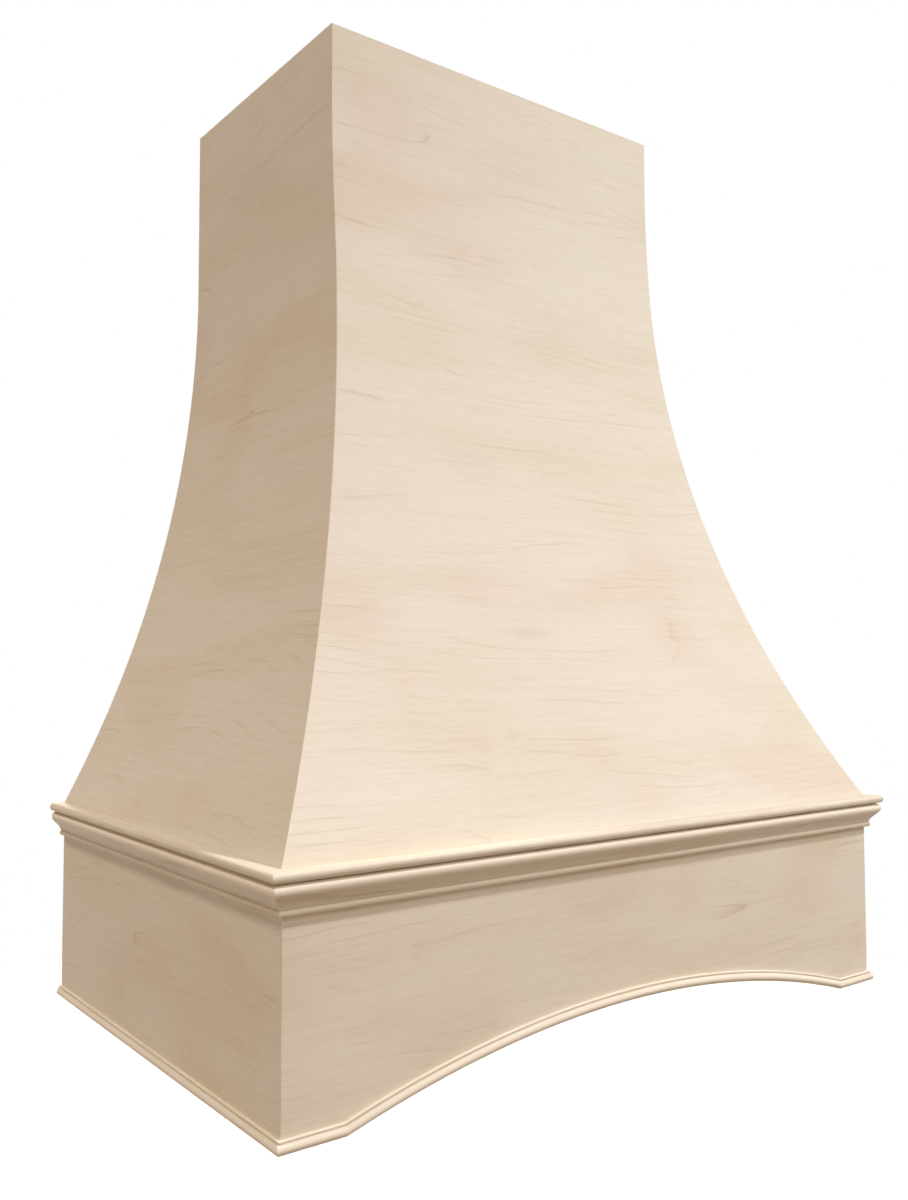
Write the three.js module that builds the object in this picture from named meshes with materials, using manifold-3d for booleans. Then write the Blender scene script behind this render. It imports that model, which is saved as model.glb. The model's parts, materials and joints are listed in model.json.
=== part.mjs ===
// A wall-hung wooden range hood cover: a maple-veneered case that hides a metal hood insert and its duct.
// Millimetres, +Z up. The pieces are laid out from the wall: the wall is the plane Y = 0, the hood stands
// in front of it at -Y, X = 0 is its middle and Z = 0 its lower edge. At the end the whole group is moved
// so that the origin is the middle of its footprint.

import * as THREE from 'three';
import { mergeVertices } from 'three/addons/utils/BufferGeometryUtils.js';
import Module from 'manifold-3d';

// ---- Driving dimensions -------------------------------------------------------------------------------

// Overall sizes
const APRON_WIDTH = 914.4;
const APRON_DEPTH = 609.6;
const OVERALL_HEIGHT = 1219.2;
const CHIMNEY_WIDTH = 546.1;
const CHIMNEY_DEPTH = 381;

// Heights above the lower edge
const LEDGE_TOP = 254; // the curved body stands here
const SIDE_FLARE_TOP = 990.6; // the side curve leaves the straight chimney here
const FRONT_FLARE_TOP = 1155.7; // and the front curve here
const INSERT_PANEL_BOTTOM = 82.55;
const MIDDLE_RAIL_BOTTOM = 647.7;

// Stock thicknesses
const SKIN = 6.35; // bent body panels
const APRON_PANEL = 19.05;
const FRAME = 19.05; // plates, ribs, rails, cleats and the insert panel
const LEDGE_THICKNESS = 10;

// Ledge and bed moulding, measured out from the apron's face
const LEDGE_PROJECTION = 19.05;
const LEDGE_INSIDE = 76.2; // how far the ledge runs in behind the apron's face
const MOULDING_HEIGHT = 33;
const MOULDING_OUT = 16.7;
const MOULDING_QUIRK_OUT = 10.7;
const MOULDING_QUIRK_HEIGHT = 0.9;
const MOULDING_FOOT_OUT = 4.8;
const MOULDING_BEAD_OUT = 6.1;
const MOULDING_BEAD_HEIGHT = 7;

// Bottom trim: a cap under the apron panels, with a fillet, a groove and a bead
const TRIM_HEIGHT = 12.7;
const TRIM_OUT = 6.35;
const TRIM_FILLET_OUT = 3.2;
const TRIM_FILLET_HEIGHT = 2;
const TRIM_GROOVE_HEIGHT = 0.6;
const TRIM_GROOVE_OUT = 2.4;

// Arch in the front apron
const ARCH_SHOULDER = 66.7; // straight stretch between each corner and the arch
const ARCH_RISE = 57.15;

// Frame of the curved body
const RIB_DEPTH = 50.8; // square to the curve
const TOP_PLATE_WIDTH = 50.8;
const CORNER_POST = 31.75;
const FRONT_RIB_OFFSET = 152.4; // from the middle
const SIDE_RIB_FROM_WALL = 190.5;
const RAIL_HEIGHT = 88.9;

// Apron frame and insert panel
const CORNER_BLOCK = 38.1;
const CLEAT_HEIGHT = 38.1;
const CUTOUT_RIM_SIDE = 76.2; // from the apron's inside to the cut-out, at the left and right
const CUTOUT_RIM_FRONT = 60.325; // and at the front and rear
const CUTOUT_CORNER = 12.7;

// Countersunk wood screws that hold the insert panel up
const SCREW_LENGTH = 38;
const SCREW_RADIUS = 2.2;
const SCREW_HEAD_RADIUS = 4.2;
const SCREW_HEAD_RIM = 0.6;
const SCREW_HEAD_HEIGHT = 3;
const SCREW_POINT = 5;
const SCREW_DRIVE = 3.2; // square recess, side
const SCREW_DRIVE_DEPTH = 2.2;
const SCREW_FROM_CORNER = 152.4;

// Clearances
const GLUE_LINE = 0.1; // between flat faces
const FIT_GAP = 0.3; // between pieces that are cut to each other
const PANEL_CLEARANCE = 1.5; // round the insert panel

// Facets
const BODY_STEPS = 40;
const ARCH_STEPS = 32;
const CURVE_STEPS = 5;
const SCREW_SIDES = 12;

// Colour, roughness and metalness of each finish
const FINISHES = {
  maple_veneer: { color: '#e2d1bb', roughness: 0.62, metalness: 0 },
  solid_maple: { color: '#ead9c4', roughness: 0.58, metalness: 0 },
  frame_plywood: { color: '#d8c3a2', roughness: 0.75, metalness: 0 },
  frame_timber: { color: '#dcc69c', roughness: 0.75, metalness: 0 },
  screw_steel: { color: '#b9b7b0', roughness: 0.35, metalness: 1 },
};

// ---- Worked out from them -----------------------------------------------------------------------------

const HALF_WIDTH = APRON_WIDTH / 2;
const INNER_HALF_WIDTH = HALF_WIDTH - APRON_PANEL;
const INNER_DEPTH = APRON_DEPTH - APRON_PANEL;
const ARCH_HALF_SPAN = HALF_WIDTH - ARCH_SHOULDER;
const LEDGE_BOTTOM = LEDGE_TOP - LEDGE_THICKNESS;
const BASE_PLATE_TOP = LEDGE_TOP + FRAME;
const TOP_PLATE_BOTTOM = OVERALL_HEIGHT - FRAME;
const INSERT_PANEL_TOP = INSERT_PANEL_BOTTOM + FRAME;
const CLEAT_TOP = INSERT_PANEL_TOP + CLEAT_HEIGHT;
const BEHIND_SKIN = SKIN + FIT_GAP;
const BEHIND_RIB = BEHIND_SKIN + RIB_DEPTH + FIT_GAP;

const SIDES = [
  { name: 'left', sign: -1 },
  { name: 'right', sign: 1 },
];

const wasm = await Module();
wasm.setup();

// ---- Solids -------------------------------------------------------------------------------------------

// The triangles of a flat ring of points in space.
function capTriangles(ring) {
  const normal = new THREE.Vector3();
  ring.forEach((point, i) => {
    const next = ring[(i + 1) % ring.length];
    normal.add(new THREE.Vector3().crossVectors(new THREE.Vector3(...point), new THREE.Vector3(...next)));
  });
  const size = normal.toArray().map(Math.abs);
  const dropped = size.indexOf(Math.max(...size));
  const kept = [0, 1, 2].filter((axis) => axis !== dropped);
  const outline = ring.map((point) => new THREE.Vector2(point[kept[0]], point[kept[1]]));
  const clockwise = THREE.ShapeUtils.isClockWise(outline);
  const order = ring.map((_, i) => (clockwise ? ring.length - 1 - i : i));
  const triangles = THREE.ShapeUtils.triangulateShape(order.map((i) => outline[i]), []);
  return triangles.map((triangle) => {
    const corners = triangle.map((i) => order[i]);
    return clockwise ? corners.reverse() : corners;
  });
}

// A closed body through rings that all have the same number of points, with its first and last ring capped.
function loft(rings) {
  const count = rings[0].length;
  const last = (rings.length - 1) * count;
  const triangles = [];
  for (let start = 0; start < last; start += count) {
    for (let i = 0; i < count; i++) {
      const a = start + i;
      const b = start + ((i + 1) % count);
      triangles.push([a, b, b + count], [a, b + count, a + count]);
    }
  }
  capTriangles(rings[0]).forEach(([a, b, c]) => triangles.push([c, b, a]));
  capTriangles(rings.at(-1)).forEach(([a, b, c]) => triangles.push([a + last, b + last, c + last]));

  const points = rings.flat().map((point) => new THREE.Vector3(...point));
  const volume = triangles.reduce(
    (sum, [a, b, c]) => sum + points[a].dot(new THREE.Vector3().crossVectors(points[b], points[c])),
    0,
  );
  const facingOut = volume > 0 ? triangles : triangles.map(([a, b, c]) => [c, b, a]);
  const geometry = new THREE.BufferGeometry().setFromPoints(points);
  geometry.setIndex(facingOut.flat());
  geometry.computeVertexNormals();
  return geometry;
}

// A geometry as a solid that can be cut and joined.
function toSolid(geometry) {
  const bare = geometry.clone();
  bare.deleteAttribute('normal');
  bare.deleteAttribute('uv');
  const merged = mergeVertices(bare);
  const corners = Array.from(merged.index.array);
  const triVerts = [];
  for (let i = 0; i < corners.length; i += 3) {
    const triangle = corners.slice(i, i + 3);
    if (new Set(triangle).size === 3) triVerts.push(...triangle);
  }
  const mesh = new wasm.Mesh({
    numProp: 3,
    vertProperties: new Float32Array(merged.attributes.position.array),
    triVerts: new Uint32Array(triVerts),
  });
  return new wasm.Manifold(mesh);
}

function toGeometry(solid) {
  const mesh = solid.getMesh();
  const geometry = new THREE.BufferGeometry();
  geometry.setAttribute('position', new THREE.BufferAttribute(mesh.vertProperties, 3));
  geometry.setIndex(new THREE.BufferAttribute(mesh.triVerts, 1));
  geometry.computeVertexNormals();
  return geometry;
}

// A rectangular block between two opposite corners.
function block(low, high) {
  const size = high.map((value, axis) => value - low[axis]);
  const geometry = new THREE.BoxGeometry(...size);
  return geometry.translate(...size.map((length, axis) => low[axis] + length / 2));
}

// The same block on the left or right of the middle: x runs from inner to outer.
function sideBlock(sign, [inner, y0, z0], [outer, y1, z1]) {
  return block(
    [Math.min(sign * inner, sign * outer), y0, z0],
    [Math.max(sign * inner, sign * outer), y1, z1],
  );
}

// ---- The body's curves --------------------------------------------------------------------------------

// A circular arc that leaves the vertical at height top and stands out by reach at the ledge.
function flare(top, reach) {
  const rise = top - LEDGE_TOP;
  const radius = (rise ** 2 + reach ** 2) / (2 * reach);
  const below = (z) => Math.max(top - z, 0);
  return {
    out: (z) => radius - Math.sqrt(radius ** 2 - below(z) ** 2),
    slope: (z) => below(z) / Math.sqrt(radius ** 2 - below(z) ** 2),
  };
}

const sideFlare = flare(SIDE_FLARE_TOP, (APRON_WIDTH - CHIMNEY_WIDTH) / 2);
const frontFlare = flare(FRONT_FLARE_TOP, APRON_DEPTH - CHIMNEY_DEPTH);

// Half the body's width, and its depth, at height z and at a distance behind its outer faces.
function bodyAt(z, behind) {
  return {
    half: CHIMNEY_WIDTH / 2 + sideFlare.out(z) - behind * Math.hypot(1, sideFlare.slope(z)),
    depth: CHIMNEY_DEPTH + frontFlare.out(z) - behind * Math.hypot(1, frontFlare.slope(z)),
  };
}

// Heights of the body's facets, from bottom to top.
function levels(bottom, top) {
  const pitch = (OVERALL_HEIGHT - LEDGE_TOP) / BODY_STEPS;
  const between = Array.from({ length: BODY_STEPS }, (_, i) => LEDGE_TOP + i * pitch);
  const clear = pitch / 4;
  return [bottom, ...between.filter((z) => z > bottom + clear && z < top - clear), top];
}

// Everything inside the body that lies further than a distance behind its outer faces.
function inside(behind) {
  const margin = 10; // past the wall, the ledge and the top, so that each cut runs right through
  const rings = levels(LEDGE_TOP - margin, OVERALL_HEIGHT + margin).map((z) => {
    const { half, depth } = bodyAt(z, behind);
    return [[-half, -depth, z], [half, -depth, z], [half, margin, z], [-half, margin, z]];
  });
  return toSolid(loft(rings));
}

const insideSkin = inside(BEHIND_SKIN);
const insideRibs = inside(BEHIND_RIB);
const ribZone = insideSkin.subtract(inside(BEHIND_SKIN + RIB_DEPTH));

const fitInsideSkin = (geometry) => toGeometry(toSolid(geometry).intersect(insideSkin));
const fitBetweenRibs = (geometry) => toGeometry(toSolid(geometry).intersect(insideRibs));
const cutRib = (geometry) => toGeometry(toSolid(geometry).intersect(ribZone));

// ---- Profiles: [out from the apron's face, up] ---------------------------------------------------------

const toPairs = (shape) => shape.getPoints(CURVE_STEPS).map((point) => [point.x, point.y]);

// A flat strip with a round nose. Up is measured from the ledge's top.
function ledgeProfile() {
  const nose = LEDGE_THICKNESS / 2;
  const shape = new THREE.Shape();
  shape.moveTo(-LEDGE_INSIDE, 0);
  shape.lineTo(-LEDGE_INSIDE, -LEDGE_THICKNESS);
  shape.lineTo(LEDGE_PROJECTION - nose, -LEDGE_THICKNESS);
  shape.absarc(LEDGE_PROJECTION - nose, -nose, nose, -Math.PI / 2, Math.PI / 2, false);
  return toPairs(shape);
}

// From the top down: a quirk, an ogee that swells out and sweeps back in, and a bead. Up is measured from
// the moulding's top.
function bedMouldingProfile() {
  const swell = MOULDING_OUT - MOULDING_QUIRK_OUT; // radius of the ogee's upper edge
  const sweepTop = -MOULDING_QUIRK_HEIGHT - swell;
  const beadTop = MOULDING_BEAD_HEIGHT - MOULDING_HEIGHT;
  const sweepHeight = sweepTop - beadTop;
  const sweepDepth = MOULDING_OUT - MOULDING_FOOT_OUT;
  const bead = MOULDING_BEAD_HEIGHT / 2;
  const shape = new THREE.Shape();
  shape.moveTo(GLUE_LINE, 0);
  shape.lineTo(MOULDING_QUIRK_OUT, 0);
  shape.lineTo(MOULDING_QUIRK_OUT, -MOULDING_QUIRK_HEIGHT);
  shape.absarc(MOULDING_QUIRK_OUT, sweepTop, swell, Math.PI / 2, 0, true);
  shape.bezierCurveTo(
    MOULDING_OUT, sweepTop - 0.38 * sweepHeight,
    MOULDING_FOOT_OUT + 0.08 * sweepDepth, sweepTop - 0.62 * sweepHeight,
    MOULDING_FOOT_OUT, beadTop,
  );
  shape.lineTo(MOULDING_BEAD_OUT - bead, beadTop);
  shape.absarc(MOULDING_BEAD_OUT - bead, beadTop - bead, bead, Math.PI / 2, -Math.PI / 2, true);
  shape.lineTo(GLUE_LINE, -MOULDING_HEIGHT);
  return toPairs(shape);
}

// A cap as wide as the apron panel, with its fillet, groove and bead outside. Up is measured from the lower
// edge.
function trimProfile() {
  const groove = TRIM_HEIGHT - TRIM_FILLET_HEIGHT;
  const bead = groove - TRIM_GROOVE_HEIGHT;
  const shape = new THREE.Shape();
  shape.moveTo(-APRON_PANEL, 0);
  shape.lineTo(-APRON_PANEL, TRIM_HEIGHT);
  shape.lineTo(TRIM_FILLET_OUT, TRIM_HEIGHT);
  shape.lineTo(TRIM_FILLET_OUT, groove);
  shape.lineTo(TRIM_GROOVE_OUT, groove);
  shape.lineTo(TRIM_GROOVE_OUT, bead);
  shape.absellipse(
    TRIM_GROOVE_OUT, bead / 2, TRIM_OUT - TRIM_GROOVE_OUT, bead / 2, Math.PI / 2, -Math.PI / 2, true, 0,
  );
  return toPairs(shape);
}

// ---- Runs of a profile round the apron, mitred at its front corners -------------------------------------

const frontRing = (profile, base, sign) => profile.map(([out, up]) => [
  sign * (HALF_WIDTH + out - FIT_GAP / 2), -APRON_DEPTH - out, base + up,
]);

const frontRun = (profile, base) => loft([frontRing(profile, base, -1), frontRing(profile, base, 1)]);

function sideRun(profile, base, sign) {
  const ringAt = (y) => profile.map(([out, up]) => [sign * (HALF_WIDTH + out), y(out), base + up]);
  return loft([ringAt((out) => FIT_GAP / 2 - APRON_DEPTH - out), ringAt(() => 0)]);
}

// ---- The arch -----------------------------------------------------------------------------------------

const archRadius = (ARCH_HALF_SPAN ** 2 + ARCH_RISE ** 2) / (2 * ARCH_RISE);
const archCentre = TRIM_HEIGHT + ARCH_RISE - archRadius; // height of the arc's centre

// The arc through a trim point that lies up above the lower edge, and where it meets the straight stretch.
function archArc(up) {
  const radius = archRadius - TRIM_HEIGHT + up;
  return { radius, end: Math.acos((up - archCentre) / radius) };
}

const archShares = Array.from({ length: ARCH_STEPS + 1 }, (_, i) => (2 * i) / ARCH_STEPS - 1);

// The trim along the arch, mitred at both ends to the straight stretches.
function archTrim(profile) {
  const rings = archShares.map((share) => profile.map(([out, up]) => {
    const { radius, end } = archArc(up);
    const angle = share * (end - FIT_GAP / 2 / radius);
    return [radius * Math.sin(angle), -APRON_DEPTH - out, archCentre + radius * Math.cos(angle)];
  }));
  return loft(rings);
}

// The straight trim between a front corner and the arch.
function straightTrim(profile, sign) {
  const archEnd = profile.map(([out, up]) => {
    const { radius, end } = archArc(up);
    return [sign * (radius * Math.sin(end) + FIT_GAP / 2), -APRON_DEPTH - out, up];
  });
  return loft([frontRing(profile, 0, sign), archEnd]);
}

// ---- Apron panels -------------------------------------------------------------------------------------

const APRON_BOTTOM = TRIM_HEIGHT + GLUE_LINE;
const APRON_TOP = LEDGE_BOTTOM - GLUE_LINE;

// The front panel: its outline stands upright, is given its thickness and is mitred at both ends.
function apronFront() {
  const end = HALF_WIDTH - FIT_GAP / 2;
  const shape = new THREE.Shape();
  shape.moveTo(-end, APRON_TOP);
  shape.lineTo(-end, APRON_BOTTOM);
  archShares.forEach((share) => {
    const angle = share * archArc(TRIM_HEIGHT).end;
    shape.lineTo(archRadius * Math.sin(angle), archCentre + archRadius * Math.cos(angle) + GLUE_LINE);
  });
  shape.lineTo(end, APRON_BOTTOM);
  shape.lineTo(end, APRON_TOP);
  const geometry = new THREE.ExtrudeGeometry(shape, { depth: APRON_PANEL, bevelEnabled: false });
  geometry.rotateX(Math.PI / 2);
  geometry.translate(0, -INNER_DEPTH, 0);
  const points = geometry.attributes.position;
  for (let i = 0; i < points.count; i++) {
    const x = points.getX(i);
    const onInnerFace = points.getY(i) > -APRON_DEPTH + APRON_PANEL / 2;
    if (onInnerFace && Math.abs(x) > INNER_HALF_WIDTH) {
      points.setX(i, x - Math.sign(x) * APRON_PANEL);
    }
  }
  geometry.computeVertexNormals();
  return geometry;
}

function apronSide(sign) {
  const ringAt = (z) => [
    [sign * HALF_WIDTH, FIT_GAP / 2 - APRON_DEPTH, z],
    [sign * INNER_HALF_WIDTH, FIT_GAP / 2 - INNER_DEPTH, z],
    [sign * INNER_HALF_WIDTH, 0, z],
    [sign * HALF_WIDTH, 0, z],
  ];
  return loft([ringAt(APRON_BOTTOM), ringAt(APRON_TOP)]);
}

// ---- Body panels, bent to the flare and mitred along the front corners ---------------------------------

const bodyLevels = levels(LEDGE_TOP + GLUE_LINE, OVERALL_HEIGHT);

function bodyFront() {
  return loft(bodyLevels.map((z) => {
    const outer = bodyAt(z, 0);
    const inner = bodyAt(z, SKIN);
    const trim = FIT_GAP / 2;
    return [
      [trim - outer.half, -outer.depth, z],
      [outer.half - trim, -outer.depth, z],
      [inner.half - trim, -inner.depth, z],
      [trim - inner.half, -inner.depth, z],
    ];
  }));
}

function bodySide(sign) {
  return loft(bodyLevels.map((z) => {
    const outer = bodyAt(z, 0);
    const inner = bodyAt(z, SKIN);
    const trim = FIT_GAP / 2;
    return [
      [sign * outer.half, trim - outer.depth, z],
      [sign * inner.half, trim - inner.depth, z],
      [sign * inner.half, 0, z],
      [sign * outer.half, 0, z],
    ];
  }));
}

// A square post behind a front corner, sawn to both curves.
function cornerPost(sign) {
  return loft(levels(BASE_PLATE_TOP + GLUE_LINE, TOP_PLATE_BOTTOM - GLUE_LINE).map((z) => {
    const { half, depth } = bodyAt(z, BEHIND_SKIN);
    return [
      [sign * half, -depth, z],
      [sign * (half - CORNER_POST), -depth, z],
      [sign * (half - CORNER_POST), CORNER_POST - depth, z],
      [sign * half, CORNER_POST - depth, z],
    ];
  }));
}

// ---- Screws -------------------------------------------------------------------------------------------

// A screw that points up, with its head's face at Z = 0. With room it is the hole for that screw.
function screwBody(room) {
  const mouth = room > 0 ? -1 : 0; // a hole starts below the panel's face
  const outline = [
    [0, mouth],
    [SCREW_HEAD_RADIUS + room, mouth],
    [SCREW_HEAD_RADIUS + room, SCREW_HEAD_RIM + room],
    [SCREW_RADIUS + room, SCREW_HEAD_HEIGHT + room],
    [SCREW_RADIUS + room, SCREW_LENGTH - SCREW_POINT + room],
    [0, SCREW_LENGTH + room],
  ].map(([radius, z]) => new THREE.Vector2(radius, z));
  return toSolid(new THREE.LatheGeometry(outline, SCREW_SIDES).rotateX(Math.PI / 2));
}

function screwGeometry() {
  const half = SCREW_DRIVE / 2;
  const drive = toSolid(block([-half, -half, -1], [half, half, SCREW_DRIVE_DEPTH]));
  return toGeometry(screwBody(0).subtract(drive));
}

// Two screws on each side of the insert panel, in the middle of the cleat or rail above it.
const screwSideX = INNER_HALF_WIDTH - FRAME / 2;
const screwFrontY = FRAME / 2 - INNER_DEPTH;
const screwPlaces = SIDES.flatMap(({ sign }) => [
  [sign * screwSideX, -SCREW_FROM_CORNER],
  [sign * screwSideX, SCREW_FROM_CORNER - INNER_DEPTH],
  [sign * (INNER_HALF_WIDTH - SCREW_FROM_CORNER), screwFrontY],
  [sign * (INNER_HALF_WIDTH - SCREW_FROM_CORNER), -FRAME / 2],
]);

const screwHole = screwBody(FIT_GAP);

// A piece with the holes of all the screws that reach it.
function drill(geometry) {
  const cut = (solid, [x, y]) => solid.subtract(screwHole.translate([x, y, INSERT_PANEL_BOTTOM]));
  return toGeometry(screwPlaces.reduce(cut, toSolid(geometry)));
}

// ---- The insert panel ---------------------------------------------------------------------------------

function insertPanel() {
  const right = INNER_HALF_WIDTH - PANEL_CLEARANCE;
  const front = PANEL_CLEARANCE - INNER_DEPTH;
  const rear = -PANEL_CLEARANCE;
  const shape = new THREE.Shape();
  shape.moveTo(-right, front);
  shape.lineTo(right, front);
  shape.lineTo(right, rear);
  shape.lineTo(-right, rear);

  const x = INNER_HALF_WIDTH - CUTOUT_RIM_SIDE - CUTOUT_CORNER;
  const y = INNER_DEPTH / 2 - CUTOUT_RIM_FRONT - CUTOUT_CORNER;
  const middle = -INNER_DEPTH / 2;
  const cutout = new THREE.Path();
  cutout.absarc(x, middle + y, CUTOUT_CORNER, 0, Math.PI / 2);
  cutout.absarc(-x, middle + y, CUTOUT_CORNER, Math.PI / 2, Math.PI);
  cutout.absarc(-x, middle - y, CUTOUT_CORNER, Math.PI, 1.5 * Math.PI);
  cutout.absarc(x, middle - y, CUTOUT_CORNER, 1.5 * Math.PI, 2 * Math.PI);
  shape.holes.push(cutout);

  const geometry = new THREE.ExtrudeGeometry(shape, {
    depth: FRAME - GLUE_LINE,
    bevelEnabled: false,
    curveSegments: CURVE_STEPS,
  });
  return geometry.translate(0, 0, INSERT_PANEL_BOTTOM);
}

// ---- Assembly -----------------------------------------------------------------------------------------

function addPiece(group, name, finish, geometry) {
  const mesh = new THREE.Mesh(geometry, new THREE.MeshStandardMaterial(FINISHES[finish]));
  mesh.name = name;
  group.add(mesh);
  return mesh;
}

function makeApron() {
  const group = new THREE.Group();
  addPiece(group, 'apron_front_panel', 'maple_veneer', apronFront());
  for (const { name, sign } of SIDES) {
    addPiece(group, `apron_${name}_panel`, 'maple_veneer', apronSide(sign));
  }
  return group;
}

function makeMouldings() {
  const group = new THREE.Group();
  const ledge = ledgeProfile();
  const moulding = bedMouldingProfile();
  const trim = trimProfile();
  const mouldingTop = LEDGE_BOTTOM - GLUE_LINE;
  addPiece(group, 'ledge_front', 'solid_maple', frontRun(ledge, LEDGE_TOP));
  addPiece(group, 'bed_moulding_front', 'solid_maple', frontRun(moulding, mouldingTop));
  addPiece(group, 'bottom_trim_arch', 'solid_maple', archTrim(trim));
  for (const { name, sign } of SIDES) {
    addPiece(group, `ledge_${name}`, 'solid_maple', sideRun(ledge, LEDGE_TOP, sign));
    addPiece(group, `bed_moulding_${name}`, 'solid_maple', sideRun(moulding, mouldingTop, sign));
    addPiece(group, `bottom_trim_${name}`, 'solid_maple', sideRun(trim, 0, sign));
    addPiece(group, `bottom_trim_front_${name}`, 'solid_maple', straightTrim(trim, sign));
  }
  const rearEnd = HALF_WIDTH - LEDGE_INSIDE - GLUE_LINE;
  addPiece(group, 'ledge_rear', 'solid_maple', block(
    [-rearEnd, -LEDGE_INSIDE, LEDGE_BOTTOM],
    [rearEnd, 0, LEDGE_TOP],
  ));
  return group;
}

function makeApronFrame() {
  const group = new THREE.Group();
  const side = INNER_HALF_WIDTH - GLUE_LINE;
  const front = GLUE_LINE - INNER_DEPTH;
  const top = LEDGE_BOTTOM - GLUE_LINE;
  addPiece(group, 'apron_rear_rail', 'frame_plywood', drill(block(
    [-side, -FRAME, INSERT_PANEL_TOP],
    [side, 0, top],
  )));
  addPiece(group, 'insert_cleat_front', 'frame_timber', drill(block(
    [-side, front, INSERT_PANEL_TOP],
    [side, front + FRAME, CLEAT_TOP],
  )));
  for (const { name, sign } of SIDES) {
    addPiece(group, `insert_cleat_${name}`, 'frame_timber', drill(sideBlock(
      sign,
      [side - FRAME, front + FRAME + GLUE_LINE, INSERT_PANEL_TOP],
      [side, -FRAME - GLUE_LINE, CLEAT_TOP],
    )));
    addPiece(group, `corner_block_front_${name}`, 'frame_timber', sideBlock(
      sign,
      [side - CORNER_BLOCK, front, CLEAT_TOP + GLUE_LINE],
      [side, front + CORNER_BLOCK, top],
    ));
    addPiece(group, `corner_block_rear_${name}`, 'frame_timber', sideBlock(
      sign,
      [side - CORNER_BLOCK, -FRAME - GLUE_LINE - CORNER_BLOCK, CLEAT_TOP + GLUE_LINE],
      [side, -FRAME - GLUE_LINE, top],
    ));
  }
  return group;
}

function makeInsertSupport() {
  const group = new THREE.Group();
  addPiece(group, 'insert_panel', 'frame_plywood', drill(insertPanel()));
  const screw = screwGeometry();
  screwPlaces.forEach(([x, y], i) => {
    const mesh = addPiece(group, `insert_screw_${i + 1}`, 'screw_steel', screw);
    mesh.position.set(x, y, INSERT_PANEL_BOTTOM);
  });
  return group;
}

// Four strips that lie flat in a ring behind the skin: front and rear full width, left and right between.
// Inner is the half width and the depth of the space they leave, and rear its distance from the wall.
function addPlates(group, prefix, bottom, top, inner) {
  const add = (name, geometry) => {
    addPiece(group, `${prefix}_plate_${name}`, 'frame_plywood', fitInsideSkin(geometry));
  };
  add('front', block([-HALF_WIDTH, -APRON_DEPTH, bottom], [HALF_WIDTH, -inner.depth, top]));
  add('rear', block([-HALF_WIDTH, -inner.rear, bottom], [HALF_WIDTH, 0, top]));
  for (const { name, sign } of SIDES) {
    add(name, sideBlock(
      sign,
      [inner.half, GLUE_LINE - inner.depth, bottom],
      [HALF_WIDTH, -inner.rear - GLUE_LINE, top],
    ));
  }
}

function makeBodyFrame() {
  const group = new THREE.Group();
  addPlates(group, 'base', LEDGE_TOP + GLUE_LINE, BASE_PLATE_TOP, {
    half: HALF_WIDTH - LEDGE_INSIDE,
    depth: APRON_DEPTH - LEDGE_INSIDE,
    rear: LEDGE_INSIDE,
  });
  const behindSkin = bodyAt(OVERALL_HEIGHT, BEHIND_SKIN);
  addPlates(group, 'top', TOP_PLATE_BOTTOM, OVERALL_HEIGHT, {
    half: behindSkin.half - TOP_PLATE_WIDTH,
    depth: behindSkin.depth - TOP_PLATE_WIDTH,
    rear: TOP_PLATE_WIDTH,
  });

  const foot = BASE_PLATE_TOP + GLUE_LINE;
  const head = TOP_PLATE_BOTTOM - GLUE_LINE;
  const sideRibY = FRAME / 2 - SIDE_RIB_FROM_WALL;
  for (const { name, sign } of SIDES) {
    const addRib = (place, geometry) => {
      addPiece(group, `${place}_rib_${name}`, 'frame_plywood', cutRib(geometry));
    };
    addPiece(group, `corner_post_${name}`, 'frame_timber', cornerPost(sign));
    addRib('front', sideBlock(
      sign,
      [FRONT_RIB_OFFSET - FRAME / 2, -APRON_DEPTH, foot],
      [FRONT_RIB_OFFSET + FRAME / 2, -CHIMNEY_DEPTH / 2, head],
    ));
    addRib('side', sideBlock(sign, [0, sideRibY - FRAME, foot], [HALF_WIDTH, sideRibY, head]));
    addRib('rear', sideBlock(sign, [0, -FRAME, foot], [HALF_WIDTH, 0, head]));
  }

  const addRail = (name, top) => addPiece(group, name, 'frame_plywood', fitBetweenRibs(block(
    [-HALF_WIDTH, -FRAME, top - RAIL_HEIGHT],
    [HALF_WIDTH, 0, top],
  )));
  addRail('hanging_rail_upper', head);
  addRail('hanging_rail_middle', MIDDLE_RAIL_BOTTOM + RAIL_HEIGHT);
  return group;
}

function makeBodyPanels() {
  const group = new THREE.Group();
  addPiece(group, 'body_front_panel', 'maple_veneer', bodyFront());
  for (const { name, sign } of SIDES) {
    addPiece(group, `body_${name}_panel`, 'maple_veneer', bodySide(sign));
  }
  return group;
}

const hood = new THREE.Group();
hood.add(
  makeBodyPanels(),
  makeApron(),
  makeMouldings(),
  makeBodyFrame(),
  makeApronFrame(),
  makeInsertSupport(),
);
hood.position.y = (APRON_DEPTH + LEDGE_PROJECTION) / 2;

export default hood;
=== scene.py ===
# A wall-hung wooden range hood cover in bare maple: the finished surfaces of every piece, the camera, the
# lamps and the floor. Metres, +Z up, -Y out of the arched front, +Y towards the wall.

import itertools
import json
import math
from collections import namedtuple

import bmesh
import bpy
import numpy as np
from mathutils import Matrix, Vector


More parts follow.
